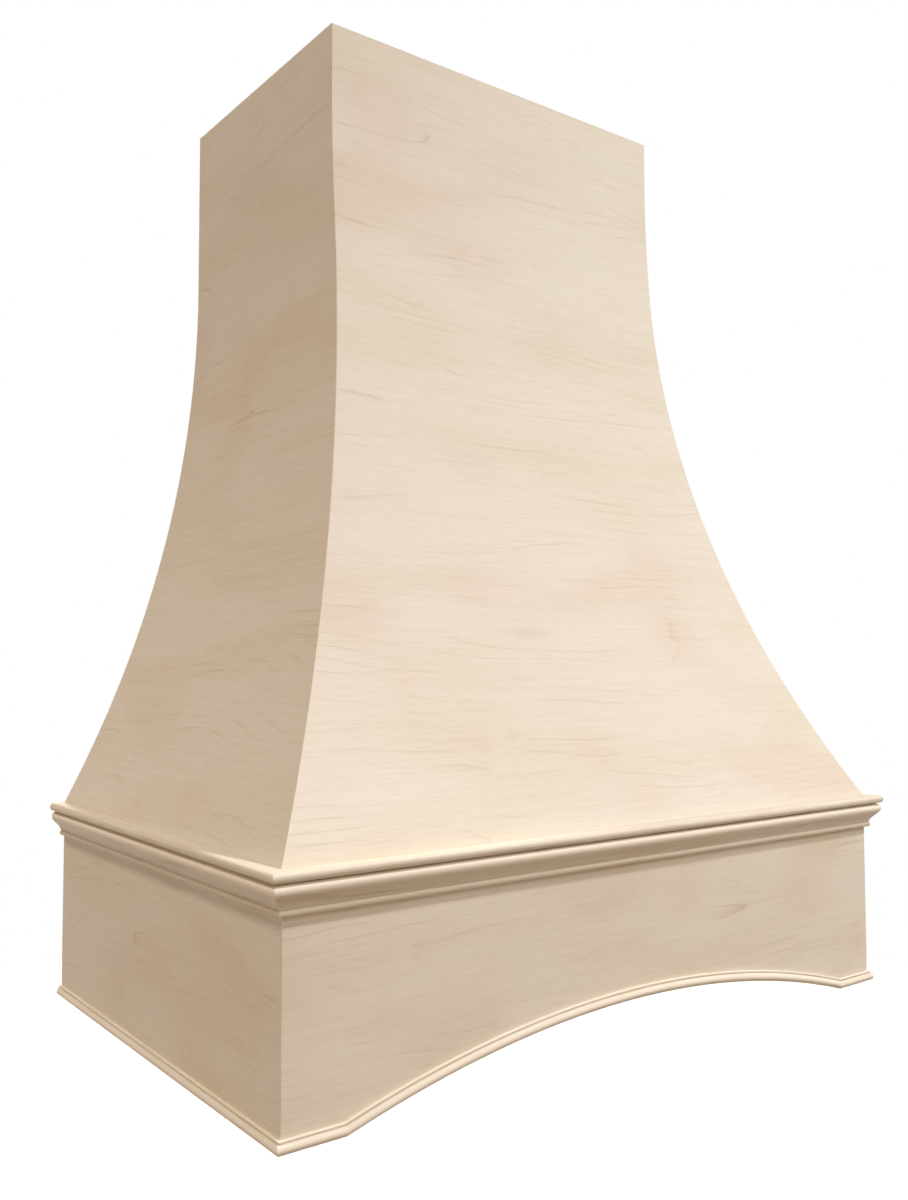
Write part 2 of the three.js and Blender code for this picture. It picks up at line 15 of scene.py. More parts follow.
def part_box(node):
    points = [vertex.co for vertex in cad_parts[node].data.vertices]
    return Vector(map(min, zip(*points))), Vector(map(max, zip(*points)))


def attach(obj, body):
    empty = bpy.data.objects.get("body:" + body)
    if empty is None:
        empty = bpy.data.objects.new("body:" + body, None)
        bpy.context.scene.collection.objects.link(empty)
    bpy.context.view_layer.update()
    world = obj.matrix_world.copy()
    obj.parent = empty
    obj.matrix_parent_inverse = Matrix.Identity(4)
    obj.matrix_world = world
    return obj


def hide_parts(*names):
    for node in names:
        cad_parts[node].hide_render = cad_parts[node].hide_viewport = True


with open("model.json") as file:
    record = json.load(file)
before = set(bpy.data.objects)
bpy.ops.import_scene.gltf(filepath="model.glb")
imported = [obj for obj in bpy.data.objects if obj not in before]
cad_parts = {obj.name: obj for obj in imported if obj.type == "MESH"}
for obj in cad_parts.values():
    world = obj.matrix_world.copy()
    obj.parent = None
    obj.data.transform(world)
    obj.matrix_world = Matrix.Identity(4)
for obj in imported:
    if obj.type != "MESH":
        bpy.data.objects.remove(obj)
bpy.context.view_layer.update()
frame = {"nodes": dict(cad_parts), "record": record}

MM = 0.001

# ---- Places, from the frame ----

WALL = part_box("apron_left_panel")[1].y
HALF_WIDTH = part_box("apron_right_panel")[1].x
APRON_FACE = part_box("apron_front_panel")[0].y
APRON_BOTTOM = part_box("apron_left_panel")[0].z
APRON_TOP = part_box("apron_left_panel")[1].z
LEDGE_BOTTOM, LEDGE_TOP = (corner.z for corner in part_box("ledge_front"))
MOULDING_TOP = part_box("bed_moulding_front")[1].z
BODY_BOTTOM, BODY_TOP = (corner.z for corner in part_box("body_front_panel"))
PANEL_LOW, PANEL_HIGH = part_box("insert_panel")
SCREW_NODES = sorted(name for name in frame["nodes"] if name.startswith("insert_screw_"))

# ---- Sizes ----

CHIMNEY_HALF_WIDTH = 273.05 * MM
CHIMNEY_DEPTH = 381 * MM
SIDE_FLARE_TOP = 990.6 * MM
FRONT_FLARE_TOP = 1155.7 * MM
SKIN = 6.35 * MM
APRON_PANEL = 19.05 * MM

LEDGE_PROJECTION = 19.05 * MM
LEDGE_INSIDE = 76.2 * MM

MOULDING_HEIGHT = 33 * MM
MOULDING_OUT = 16.7 * MM
MOULDING_QUIRK_OUT = 10.7 * MM
MOULDING_QUIRK_HEIGHT = 0.9 * MM
MOULDING_FOOT_OUT = 4.8 * MM
MOULDING_BEAD_OUT = 6.1 * MM
MOULDING_BEAD_HEIGHT = 7 * MM
OGEE_UPPER_HANDLE = 0.38  # shares of the way down the ogee's sweep, where its curve's handles lie
OGEE_LOWER_HANDLE = 0.62
OGEE_LOWER_OUT = 0.08  # the lower handle's share of the way out from the foot

TRIM_HEIGHT = 12.7 * MM
TRIM_OUT = 6.35 * MM
TRIM_FILLET_OUT = 3.2 * MM
TRIM_FILLET_HEIGHT = 2 * MM
TRIM_GROOVE_HEIGHT = 0.6 * MM
TRIM_GROOVE_OUT = 2.4 * MM
TRIM_EDGE = 0.5 * MM  # the eased upper edge of the fillet

ARCH_HALF_SPAN = 390.5 * MM
ARCH_RISE = 57.15 * MM

CUTOUT_RIM_SIDE = 74.7 * MM  # from the insert panel's edge to its cut-out, at the left and right
CUTOUT_RIM_FRONT = 58.8 * MM  # and at the front and rear
CUTOUT_CORNER = 12.7 * MM

SCREW_LENGTH = 38 * MM
SCREW_RADIUS = 2.2 * MM
SCREW_HEAD_RADIUS = 4.2 * MM
SCREW_HEAD_RIM = 0.6 * MM
SCREW_HEAD_HEIGHT = 3 * MM
SCREW_POINT = 5 * MM
SCREW_DRIVE = 3.2 * MM
SCREW_DRIVE_DEPTH = 2.2 * MM
SCREW_EDGE = 0.15 * MM  # the softened edges of the head and the drive
SCREW_TIP = 0.1  # the point's flat end, as a share of the shank
SCREW_HOLE_RADIUS = 4.5 * MM
SCREW_SEED = 3

GLUE_LINE = 0.1 * MM
JOINT = 0.06 * MM  # a glued mitre, seen as a hairline
ARRIS = 1.1 * MM  # the sanded corner where two faces meet in a mitre
EASED = 0.6 * MM  # the broken edges of the frame's boards
SHORT_EDGE = 5 * MM  # shorter edges of a board aren't broken

SHARP = math.radians(35)  # an edge that turns by more than this is a hard one
FLAT = math.radians(0.2)  # faces that turn by less than this are one face of a board
MERGED = 0.001 * MM  # points closer than this are one
MERGED_IN_BOARD = 0.01 * MM

# Facets
BODY_ROWS = 140
PANEL_COLUMNS = 14
ARRIS_STEPS = 5
CURVE_STEPS = 12
ARCH_STATIONS = 96
TRIM_EDGE_STEPS = 4
SCREW_SIDES = 48
FLOOR_SIDES = 128

BOARD_STEP = Vector((1.37, 0.61, 0.29))  # each piece is cut this far from the one before it

SIDES = {"left": -1, "right": 1}
UP = Vector((0, 0, 1))
RIGHT = Vector((1, 0, 0))
FORWARD = Vector((0, -1, 0))  # out of the arched front


# ---- Nodes ----

def add(tree, kind, inputs=None, **settings):
    """Adds a node, makes its settings, and gives each input a value or a link. A node stands for its first
    output."""
    node = tree.nodes.new(kind)
    for name, value in settings.items():
        setattr(node, name, value)
    for key, value in (inputs or {}).items():
        if isinstance(value, bpy.types.Node):
            value = value.outputs[0]
        if isinstance(value, bpy.types.NodeSocket):
            tree.links.new(value, node.inputs[key])
        else:
            node.inputs[key].default_value = value
    return node


def new_tree(name, inputs, outputs):
    """An empty tree with named inputs and outputs. Gives the tree, what it is given and its result."""
    tree = bpy.data.node_groups.new(name, "GeometryNodeTree")
    for in_out, sockets in (("INPUT", inputs), ("OUTPUT", outputs)):
        for socket, kind in sockets.items():
            tree.interface.new_socket(socket, in_out=in_out, socket_type="NodeSocket" + kind)
    return tree, tree.nodes.new("NodeGroupInput").outputs, tree.nodes.new("NodeGroupOutput").inputs


def close_tree(tree, geometry, given, result):
    """Makes what a tree has built real, and gives it its finish."""
    real = add(tree, "GeometryNodeRealizeInstances", {"Geometry": geometry})
    finished = add(tree, "GeometryNodeSetMaterial", {"Geometry": real, "Material": given["Finish"]})
    tree.links.new(finished.outputs[0], result["Geometry"])
    return tree


def close_grained_tree(tree, geometry, given, result, in_leaf):
    """The same, after each point has been told its place in its board. In the leaf, X is along the grain, Y
    across it and Z behind the face."""
    leaf = add(tree, "ShaderNodeCombineXYZ", in_leaf)
    in_board = add(tree, "ShaderNodeVectorMath", {0: leaf, 1: given["Board"]}, operation="ADD")
    grained = add(
        tree, "GeometryNodeStoreNamedAttribute",
        {"Geometry": geometry, "Name": "grain", "Value": in_board}, data_type="FLOAT_VECTOR",
    )
    return close_tree(tree, grained, given, result)


def blank_tree(owner):
    """The node tree of a material or a world, emptied."""
    owner.use_nodes = True
    owner.node_tree.nodes.clear()
    return owner.node_tree


def flare_tree():
    """How far a flared face stands out from the chimney, at a height and at a depth behind the face. The face
    is an arc that leaves the vertical at the flare's top."""
    tree, given, result = new_tree(
        "flare",
        {"Height": "Float", "Behind": "Float", "Flare Top": "Float", "Radius": "Float"},
        {"Out": "Float"},
    )
    radius = given["Radius"]
    fall = add(tree, "ShaderNodeMath", {0: given["Flare Top"], 1: given["Height"]}, operation="SUBTRACT")
    below = add(tree, "ShaderNodeMath", {0: fall, 1: 0.0}, operation="MAXIMUM")
    below_squared = add(tree, "ShaderNodeMath", {0: below, 1: below}, operation="MULTIPLY")
    radius_squared = add(tree, "ShaderNodeMath", {0: radius, 1: radius}, operation="MULTIPLY")
    rest = add(tree, "ShaderNodeMath", {0: radius_squared, 1: below_squared}, operation="SUBTRACT")
    root = add(tree, "ShaderNodeMath", {0: rest}, operation="SQRT")
    stretch = add(tree, "ShaderNodeMath", {0: radius, 1: root}, operation="DIVIDE")
    inwards = add(tree, "ShaderNodeMath", {0: stretch, 1: given["Behind"]}, operation="MULTIPLY")
    face = add(tree, "ShaderNodeMath", {0: radius, 1: root}, operation="SUBTRACT")
    out = add(tree, "ShaderNodeMath", {0: face, 1: inwards}, operation="SUBTRACT")
    tree.links.new(out.outputs[0], result["Out"])
    return tree


def flared_panel_tree():
    """A body panel from its plan section. Each point of the section says its share of the half width and of
    the depth, and its depth behind the face, and keeps its own small offset at every height."""
    tree, given, result = new_tree(
        "flared panel",
        {
            "Geometry": "Geometry", "Bottom": "Float", "Top": "Float", "Rows": "Int",
            "Chimney Half Width": "Float", "Chimney Depth": "Float",
            "Side Flare Top": "Float", "Side Flare Radius": "Float",
            "Front Flare Top": "Float", "Front Flare Radius": "Float",
            "Grain Direction": "Vector", "Board": "Vector", "Finish": "Material",
        },
        {"Geometry": "Geometry"},
    )
    here = add(tree, "GeometryNodeInputPosition")
    section = add(tree, "GeometryNodeMeshToCurve", {"Mesh": given["Geometry"]})
    kept = add(
        tree, "GeometryNodeStoreNamedAttribute",
        {"Geometry": section, "Name": "offset", "Value": here}, data_type="FLOAT_VECTOR",
    )
    foot = add(tree, "ShaderNodeCombineXYZ", {"Z": given["Bottom"]})
    head = add(tree, "ShaderNodeCombineXYZ", {"Z": given["Top"]})
    line = add(tree, "GeometryNodeCurvePrimitiveLine", {"Start": foot, "End": head})
    rows = add(tree, "GeometryNodeResampleCurve", {"Curve": line, "Count": given["Rows"]})
    swept = add(tree, "GeometryNodeCurveToMesh", {"Curve": rows, "Profile Curve": kept, "Fill Caps": True})

    height = add(tree, "ShaderNodeSeparateXYZ", {0: here}).outputs["Z"]
    share = add(tree, "GeometryNodeInputNamedAttribute", {"Name": "share"}, data_type="FLOAT_VECTOR")
    across, inwards, behind = add(tree, "ShaderNodeSeparateXYZ", {0: share}).outputs
    offset = add(tree, "GeometryNodeInputNamedAttribute", {"Name": "offset"}, data_type="FLOAT_VECTOR")
    offset_x, offset_y, _ = add(tree, "ShaderNodeSeparateXYZ", {0: offset}).outputs

    flare = flare_tree()
    reach = {}
    for face, straight in (("Side", "Chimney Half Width"), ("Front", "Chimney Depth")):
        curve = add(
            tree, "GeometryNodeGroup",
            {
                "Height": height, "Behind": behind,
                "Flare Top": given[face + " Flare Top"], "Radius": given[face + " Flare Radius"],
            },
            node_tree=flare,
        )
        reach[face] = add(tree, "ShaderNodeMath", {0: given[straight], 1: curve}, operation="ADD")
    x = add(tree, "ShaderNodeMath", {0: across, 1: reach["Side"], 2: offset_x}, operation="MULTIPLY_ADD")
    y = add(tree, "ShaderNodeMath", {0: inwards, 1: reach["Front"], 2: offset_y}, operation="MULTIPLY_ADD")
    place = add(tree, "ShaderNodeCombineXYZ", {"X": x, "Y": y, "Z": height})
    bent = add(tree, "GeometryNodeSetPosition", {"Geometry": swept, "Position": place})
    along = add(
        tree, "ShaderNodeVectorMath", {0: here, 1: given["Grain Direction"]}, operation="DOT_PRODUCT",
    )
    in_leaf = {"X": along.outputs["Value"], "Y": height, "Z": behind}
    return close_grained_tree(tree, bent, given, result, in_leaf)


def moulded_run_tree():
    """A profile run along a path. Each point of the path says in which direction, and how far, the profile's
    out and up are set out there, so that the same tree makes straight, mitred and arched runs."""
    tree, given, result = new_tree(
        "moulded run",
        {"Geometry": "Geometry", "Profile": "Object", "Board": "Vector", "Finish": "Material"},
        {"Geometry": "Geometry"},
    )
    here = add(tree, "GeometryNodeInputPosition")
    path = add(tree, "GeometryNodeMeshToCurve", {"Mesh": given["Geometry"]})
    kept_path = add(
        tree, "GeometryNodeStoreNamedAttribute",
        {"Geometry": path, "Name": "rail", "Value": here}, data_type="FLOAT_VECTOR",
    )
    shape = add(tree, "GeometryNodeObjectInfo", {"Object": given["Profile"]})
    outline = add(tree, "GeometryNodeMeshToCurve", {"Mesh": shape.outputs["Geometry"]})
    kept_outline = add(
        tree, "GeometryNodeStoreNamedAttribute",
        {"Geometry": outline, "Name": "section", "Value": here}, data_type="FLOAT_VECTOR",
    )
    swept = add(
        tree, "GeometryNodeCurveToMesh",
        {"Curve": kept_path, "Profile Curve": kept_outline, "Fill Caps": True},
    )

    told = {
        name: add(tree, "GeometryNodeInputNamedAttribute", {"Name": name}, data_type=kind)
        for name, kind in (
            ("rail", "FLOAT_VECTOR"), ("section", "FLOAT_VECTOR"), ("across", "FLOAT_VECTOR"),
            ("upright", "FLOAT_VECTOR"), ("tangent", "FLOAT_VECTOR"), ("along", "FLOAT"), ("level", "FLOAT"),
        )
    }
    out, _, up = add(tree, "ShaderNodeSeparateXYZ", {0: told["section"]}).outputs
    outwards = add(tree, "ShaderNodeVectorMath", {0: told["across"], "Scale": out}, operation="SCALE")
    upwards = add(tree, "ShaderNodeVectorMath", {0: told["upright"], "Scale": up}, operation="SCALE")
    step = add(tree, "ShaderNodeVectorMath", {0: outwards, 1: upwards}, operation="ADD")
    place = add(tree, "ShaderNodeVectorMath", {0: told["rail"], 1: step}, operation="ADD")
    moulded = add(tree, "GeometryNodeSetPosition", {"Geometry": swept, "Position": place})

    shift = add(tree, "ShaderNodeVectorMath", {0: step, 1: told["tangent"]}, operation="DOT_PRODUCT")
    along = add(tree, "ShaderNodeMath", {0: told["along"], 1: shift.outputs["Value"]}, operation="ADD")
    rise = add(tree, "ShaderNodeVectorMath", {0: told["upright"]}, operation="LENGTH")
    across_grain = add(
        tree, "ShaderNodeMath", {0: up, 1: rise.outputs["Value"], 2: told["level"]}, operation="MULTIPLY_ADD",
    )
    depth = add(tree, "ShaderNodeMath", {0: out, 1: -1.0}, operation="MULTIPLY")
    return close_grained_tree(tree, moulded, given, result, {"X": along, "Y": across_grain, "Z": depth})


def screws_tree():
    """A screw at every point, each turned by chance about its own axis."""
    tree, given, result = new_tree(
        "screws",
        {"Geometry": "Geometry", "Screw": "Object", "Seed": "Int", "Finish": "Material"},
        {"Geometry": "Geometry"},
    )
    screw = add(tree, "GeometryNodeObjectInfo", {"Object": given["Screw"]})
    points = add(tree, "GeometryNodeMeshToPoints", {"Mesh": given["Geometry"]})
    turn = add(
        tree, "FunctionNodeRandomValue", {2: 0.0, 3: math.tau, "Seed": given["Seed"]}, data_type="FLOAT",
    )
    rotation = add(tree, "ShaderNodeCombineXYZ", {"Z": turn.outputs[1]})
    placed = add(
        tree, "GeometryNodeInstanceOnPoints",
        {"Points": points, "Instance": screw.outputs["Geometry"], "Rotation": rotation},
    )
    return close_tree(tree, placed, given, result)


# ---- Meshes ----

def line_mesh(name, points, closed, **attributes):
    """Points joined by edges, with an attribute for each list of numbers or vectors."""
    mesh = bpy.data.meshes.new(name)
    count = len(points)
    edges = [(i, (i + 1) % count) for i in range(count if closed else count - 1)]
    mesh.from_pydata([tuple(point) for point in points], edges, [])
    for key, values in attributes.items():
        values = np.array([tuple(v) if isinstance(v, (tuple, Vector)) else v for v in values], np.float32)
        kind, field = ("FLOAT_VECTOR", "vector") if values.ndim == 2 else ("FLOAT", "value")
        mesh.attributes.new(key, kind, "POINT").data.foreach_set(field, values.ravel())
    return mesh


def scene_object(name, data):
    made = bpy.data.objects.new(name, data)
    bpy.context.scene.collection.objects.link(made)
    return made


def evaluated_mesh(source):
    """An object as its modifiers and settings make it, as a plain mesh."""
    return bpy.data.meshes.new_from_object(source.evaluated_get(bpy.context.evaluated_depsgraph_get()))


def grown(tree, mesh, inputs):
    """What a tree makes of a mesh, as a plain mesh."""
    source = scene_object("source", mesh)
    modifier = source.modifiers.new("tree", "NODES")
    modifier.node_group = tree
    for item in tree.interface.items_tree:
        if item.in_out == "INPUT" and item.name in inputs:
            modifier[item.identifier] = inputs[item.name]
    result = evaluated_mesh(source)
    source.modifiers.clear()
    bpy.data.objects.remove(source)
    return result


def face_out(mesh):
    """Merges doubles and turns every face outwards."""
    shell = bmesh.new()
    shell.from_mesh(mesh)
    bmesh.ops.remove_doubles(shell, verts=shell.verts, dist=MERGED)
    bmesh.ops.recalc_face_normals(shell, faces=shell.faces)
    shell.to_mesh(mesh)
    shell.free()


def number_attribute(mesh, name, values):
    mesh.attributes.new(name, "FLOAT", "POINT").data.foreach_set("value", values)


# What only the trees need of a mesh.
TOLD_BY_PATHS = {"share", "offset", "rail", "section", "across", "upright", "tangent", "along", "level"}


def finish_piece(mesh, nodes, name=None, thickness=0.0):
    """Stands a finished mesh in for its CAD nodes."""
    for attribute in [a.name for a in mesh.attributes if a.name in TOLD_BY_PATHS]:
        mesh.attributes.remove(mesh.attributes[attribute])
    number_attribute(mesh, "thickness", np.full(len(mesh.vertices), thickness, np.float32))
    mesh.shade_smooth()
    mesh.set_sharp_from_angle(angle=SHARP)
    piece = scene_object(name or nodes[0] + "_finished", mesh)
    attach(piece, "root")
    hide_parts(*nodes)


board_numbers = itertools.count(1)


def next_board():
    """Where in the stack of boards and leaves the next piece is cut."""
    return next(board_numbers) * BOARD_STEP


# ---- Finishes ----

def colour(code):
    """An sRGB hex colour as the shader's linear one."""
    shares = [int(code[i:i + 2], 16) / 255 for i in (1, 3, 5)]
    linear = [c / 12.92 if c <= 0.04045 else ((c + 0.055) / 1.055) ** 2.4 for c in shares]
    return (*linear, 1.0)


def set_stops(ramp, stops):
    """Gives a colour ramp its positions and colours."""
    held = ramp.color_ramp.elements
    for _ in range(len(stops) - len(held)):
        held.new(0.5)
    for stop, (position, shown) in zip(held, stops):
        stop.position = position
        stop.color = shown


WOOD_IOR = 1.5
WOOD_GLOSS = 0.3  # a sanded, unsealed surface has little
BUMP_DEPTH = 0.25 * MM  # what the whole range of the bump stands for
LINE_SUNK = 0.6  # a ring line's depth, as a share of that range


def wood(name, look):
    """A wood that is grown from its rings. Patterns are noise stretched along the grain, each with its
    lengths along, across and through in mm. Rings are lines where a bent and wavering count of them comes
    round."""
    material = bpy.data.materials.new(name)
    tree = blank_tree(material)
    grain = add(tree, "ShaderNodeAttribute", attribute_name="grain")
    place = add(
        tree, "ShaderNodeVectorMath", {0: grain.outputs["Vector"], "Scale": 1 / MM}, operation="SCALE",
    )
    noise = {}
    for key, (lengths, detail) in look["patterns"].items():
        stretched = add(
            tree, "ShaderNodeMapping", {"Vector": place, "Scale": [1 / length for length in lengths]},
        )
        noise[key] = add(
            tree, "ShaderNodeTexNoise", {"Vector": stretched, "Scale": 1.0, "Detail": detail},
        ).outputs["Fac"]

    _, across, depth = add(tree, "ShaderNodeSeparateXYZ", {0: place}).outputs
    count = add(tree, "ShaderNodeMath", {0: depth, 1: look["slant"], 2: across}, operation="MULTIPLY_ADD")
    for key, swing in look["swings"].items():
        count = add(tree, "ShaderNodeMath", {0: noise[key], 1: swing, 2: count}, operation="MULTIPLY_ADD")
    rings = add(tree, "ShaderNodeMath", {0: count, 1: look["ring"]}, operation="DIVIDE")
    turn = add(tree, "ShaderNodeMath", {0: rings}, operation="FRACT")
    line = add(tree, "ShaderNodeValToRGB", {"Fac": turn})
    set_stops(line, [(position, (value, value, value, 1)) for position, value in look["line"]])
    fade = add(
        tree, "ShaderNodeMapRange",
        {"Value": noise["fade"], "From Min": look["fade"][0], "From Max": look["fade"][1]},
        interpolation_type="SMOOTHSTEP",
    )
    drawn = add(tree, "ShaderNodeMath", {0: line.outputs["Color"], 1: fade}, operation="MULTIPLY")

    tone = add(tree, "ShaderNodeMath", {0: drawn, 1: look["contrast"], 2: 0.5}, operation="MULTIPLY_ADD")
    for key, weight in look["tones"].items():
        level = add(tree, "ShaderNodeMath", {0: noise[key], 1: 0.5}, operation="SUBTRACT")
        tone = add(tree, "ShaderNodeMath", {0: level, 1: weight, 2: tone}, operation="MULTIPLY_ADD")
    shade = add(tree, "ShaderNodeValToRGB", {"Fac": tone})
    set_stops(shade, [(position, colour(code)) for position, code in look["shades"]])
    tinted = shade.outputs["Color"]
    for key, (code, low, high, most) in look["tints"].items():
        share = add(
            tree, "ShaderNodeMapRange",
            {"Value": noise[key], "From Min": low, "From Max": high, "To Max": most},
            interpolation_type="SMOOTHSTEP",
        )
        tinted = add(
            tree, "ShaderNodeMix", {"Factor": share, 6: tinted, 7: colour(code)},
            data_type="RGBA", blend_type="MULTIPLY",
        ).outputs[2]
    if "layers" in look:
        tinted = layered(tree, tinted, depth, noise["fleck"], look["layers"])
    # Painted highlight: a paler colour mixed in along the mitred corners and on the crests of the mouldings.
    if "arris" in look:
        code, most = look["arris"]
        corner = add(tree, "ShaderNodeAttribute", attribute_name="arris")
        crest_highlight_share = add(tree, "ShaderNodeAttribute", attribute_name="crest")
        sanded = add(
            tree, "ShaderNodeMath", {0: corner.outputs["Fac"], 1: crest_highlight_share.outputs["Fac"]}, operation="MAXIMUM",
        )
        highlight = add(tree, "ShaderNodeMath", {0: sanded, 1: most}, operation="MULTIPLY")
        tinted = add(
            tree, "ShaderNodeMix", {"Factor": highlight, 6: tinted, 7: colour(code)}, data_type="RGBA",
        ).outputs[2]

    rough = add(
        tree, "ShaderNodeMapRange",
        {"Value": noise["fleck"], "To Min": look["roughness"][0], "To Max": look["roughness"][1]},
    )
    sunk = add(
        tree, "ShaderNodeMath", {0: drawn, 1: -LINE_SUNK, 2: noise["fleck"]}, operation="MULTIPLY_ADD",
    )
    bump = add(tree, "ShaderNodeBump", {"Strength": look["bump"], "Distance": BUMP_DEPTH, "Height": sunk})
    shader = add(
        tree, "ShaderNodeBsdfPrincipled",
        {
            "Base Color": tinted, "Roughness": rough, "IOR": WOOD_IOR,
            "Specular IOR Level": WOOD_GLOSS, "Normal": bump,
        },
    )
    add(tree, "ShaderNodeOutputMaterial", {"Surface": shader})
    return material


def layered(tree, face, depth, mottle, layers):
    """The layers of plywood, where a cut edge shows them: everything deeper than the face leaf, from either
    side, is core, in which leaves with the grain along the edge and across it take turns."""
    thickness = add(tree, "ShaderNodeAttribute", attribute_name="thickness")
    whole = add(tree, "ShaderNodeMath", {0: thickness.outputs["Fac"], 1: 1 / MM}, operation="MULTIPLY")
    leaf_depth = add(tree, "ShaderNodeAttribute", attribute_name="depth")
    deep = add(tree, "ShaderNodeMath", {0: leaf_depth.outputs["Fac"], 1: 1 / MM}, operation="MULTIPLY")
    other = add(tree, "ShaderNodeMath", {0: whole, 1: deep}, operation="SUBTRACT")
    nearest = add(tree, "ShaderNodeMath", {0: deep, 1: other}, operation="MINIMUM")
    core = add(tree, "ShaderNodeMath", {0: nearest, 1: layers["face"]}, operation="GREATER_THAN")
    pairs = add(tree, "ShaderNodeMath", {0: deep, 1: 1 / (2 * layers["leaf"])}, operation="MULTIPLY")
    turn = add(tree, "ShaderNodeMath", {0: pairs}, operation="FRACT")
    crosswise = add(tree, "ShaderNodeMath", {0: turn, 1: 0.5}, operation="GREATER_THAN")
    leaf = add(
        tree, "ShaderNodeMix",
        {"Factor": crosswise, 6: colour(layers["along"]), 7: colour(layers["cross"])}, data_type="RGBA",
    )
    speckled = add(
        tree, "ShaderNodeMix", {"Factor": mottle, 6: leaf.outputs[2], 7: colour(layers["speck"])},
        data_type="RGBA", blend_type="MULTIPLY",
    )
    return add(
        tree, "ShaderNodeMix", {"Factor": core, 6: face, 7: speckled.outputs[2]}, data_type="RGBA",
    ).outputs[2]


# Sliced hard maple veneer, sanded and bare: pale cream, with thin, broken ring lines that waver along the
# grain and close into long pointed figures, short light flecks, and faint pink and straw clouds. The fibres
# and pores of these woods are far under a millimetre across, too fine to show, so the flecks are coarser.
VENEER = {
    "patterns": {
        "figure": ((560, 95, 60), 1.0),
        "waver": ((130, 34, 25), 2.0),
        "crinkle": ((22, 9, 8), 1.0),
        "fade": ((170, 34, 30), 1.5),
        "streak": ((190, 5, 5), 3.0),
        "fleck": ((26, 1.5, 2), 1.0),
        "pink": ((210, 120, 90), 1.0),
        "straw": ((330, 90, 70), 1.0),
    },
    "slant": 3.0,
    "swings": {"figure": 170.0, "waver": 14.0, "crinkle": 1.6},
    "ring": 17.0,
    "line": ((0.0, 0.25), (0.025, 0.0), (0.8, 0.0), (0.93, 0.45), (0.975, 1.0)),
    "fade": (0.45, 0.72),
    "contrast": 0.27,
    "tones": {"streak": 0.3, "fleck": 0.3, "straw": 0.15},
    "shades": ((0.1, "#F0E7D8"), (0.5, "#E4D9C4"), (1.0, "#CBB799")),
    "tints": {"pink": ("#FAF1EE", 0.5, 0.7, 0.55), "straw": ("#F9F4E8", 0.46, 0.68, 0.28)},
    # the painted highlight along the mitred corners: its colour and its largest share
    "arris": ("#FFF6E6", 0.9),
    "layers": {"face": 0.6, "leaf": 1.35, "along": "#DCC7A2", "cross": "#B4966B", "speck": "#E2D6C4"},
    "roughness": (0.52, 0.66),
    "bump": 0.12,
}

# Solid hard maple, moulded and sanded: the same cream, with finer, straighter grain and less figure.
SOLID = {
    "patterns": {
        "figure": ((700, 60, 50), 1.0),
        "waver": ((140, 20, 18), 2.0),
        "fade": ((170, 14, 14), 1.5),
        "streak": ((240, 4, 4), 3.0),
        "fleck": ((20, 1.4, 1.4), 1.0),
        "pink": ((160, 60, 60), 1.0),
    },
    "slant": 0.7,
    "swings": {"figure": 46.0, "waver": 6.0},
    "ring": 7.0,
    "line": ((0.0, 0.5), (0.08, 0.0), (0.6, 0.0), (0.92, 1.0), (1.0, 0.5)),
    "fade": (0.4, 0.7),
    "contrast": 0.3,
    "tones": {"streak": 0.5, "fleck": 0.2},
    "shades": ((0.1, "#EBE1CF"), (0.5, "#DFD3BD"), (1.0, "#C5B192")),
    "tints": {"pink": ("#FAF0E8", 0.5, 0.72, 0.4)},
    # the painted highlight on the corners and on the crests of the mouldings: its colour and its largest
    # share
    "arris": ("#FCF0DA", 0.8),
    "roughness": (0.48, 0.6),
    "bump": 0.1,
}

# Bare birch plywood: honey-coloured, with wide soft figure on its faces and its leaves showing at the edges.
PLYWOOD = {
    "patterns": {
        "figure": ((420, 70, 50), 1.0),
        "waver": ((80, 18, 18), 2.0),
        "fade": ((150, 40, 40), 1.5),
        "streak": ((150, 4, 4), 3.0),
        "fleck": ((16, 1.5, 1.5), 2.0),
        "blotch": ((180, 90, 90), 1.0),
    },
    "slant": 2.0,
    "swings": {"figure": 120.0, "waver": 12.0},
    "ring": 11.0,
    "line": ((0.0, 0.4), (0.1, 0.0), (0.5, 0.0), (0.9, 1.0), (1.0, 0.4)),
    "fade": (0.4, 0.65),
    "contrast": 0.4,
    "tones": {"streak": 0.6, "fleck": 0.3},
    "shades": ((0.1, "#E6D5B6"), (0.5, "#D8C3A0"), (1.0, "#B99C72")),
    "tints": {"blotch": ("#F0DFC8", 0.5, 0.7, 0.8)},
    "layers": {"face": 1.0, "leaf": 1.45, "along": "#D3BA8F", "cross": "#A17E52", "speck": "#DACBB4"},
    "roughness": (0.62, 0.78),
    "bump": 0.2,
}

# Planed spruce: yellowish, with straight bands of pale early wood and darker late wood.
SPRUCE = {
    "patterns": {
        "figure": ((900, 45, 45), 1.0),
        "waver": ((160, 16, 16), 2.0),
        "fade": ((300, 20, 20), 1.0),
        "streak": ((200, 2.4, 2.4), 3.0),
        "fleck": ((14, 0.9, 0.9), 1.0),
        "blotch": ((200, 50, 50), 1.0),
    },
    "slant": 0.8,
    "swings": {"figure": 22.0, "waver": 4.0},
    "ring": 4.2,
    "line": ((0.0, 0.3), (0.08, 0.0), (0.35, 0.05), (0.9, 1.0), (1.0, 0.3)),
    "fade": (0.0, 0.5),
    "contrast": 0.45,
    "tones": {"streak": 0.4, "fleck": 0.2},
    "shades": ((0.1, "#EEDCB6"), (0.5, "#E0C99A"), (1.0, "#BF9A61")),
    "tints": {"blotch": ("#F2DFC4", 0.5, 0.7, 0.7)},
    "roughness": (0.6, 0.75),
    "bump": 0.2,
}


# Bright zinc plate on wood screws: a light grey metal with a faint blue and yellow bloom and a dulled,
# slightly uneven gloss. Lengths in mm.
ZINC = {
    "tints": ("#C9CBD0", "#CFC9B4"),
    "bloom": 2.5,
    "scratch": 0.3,
    "roughness": (0.24, 0.46),
    "bump": 0.15,
    "bump depth": 0.05,
}


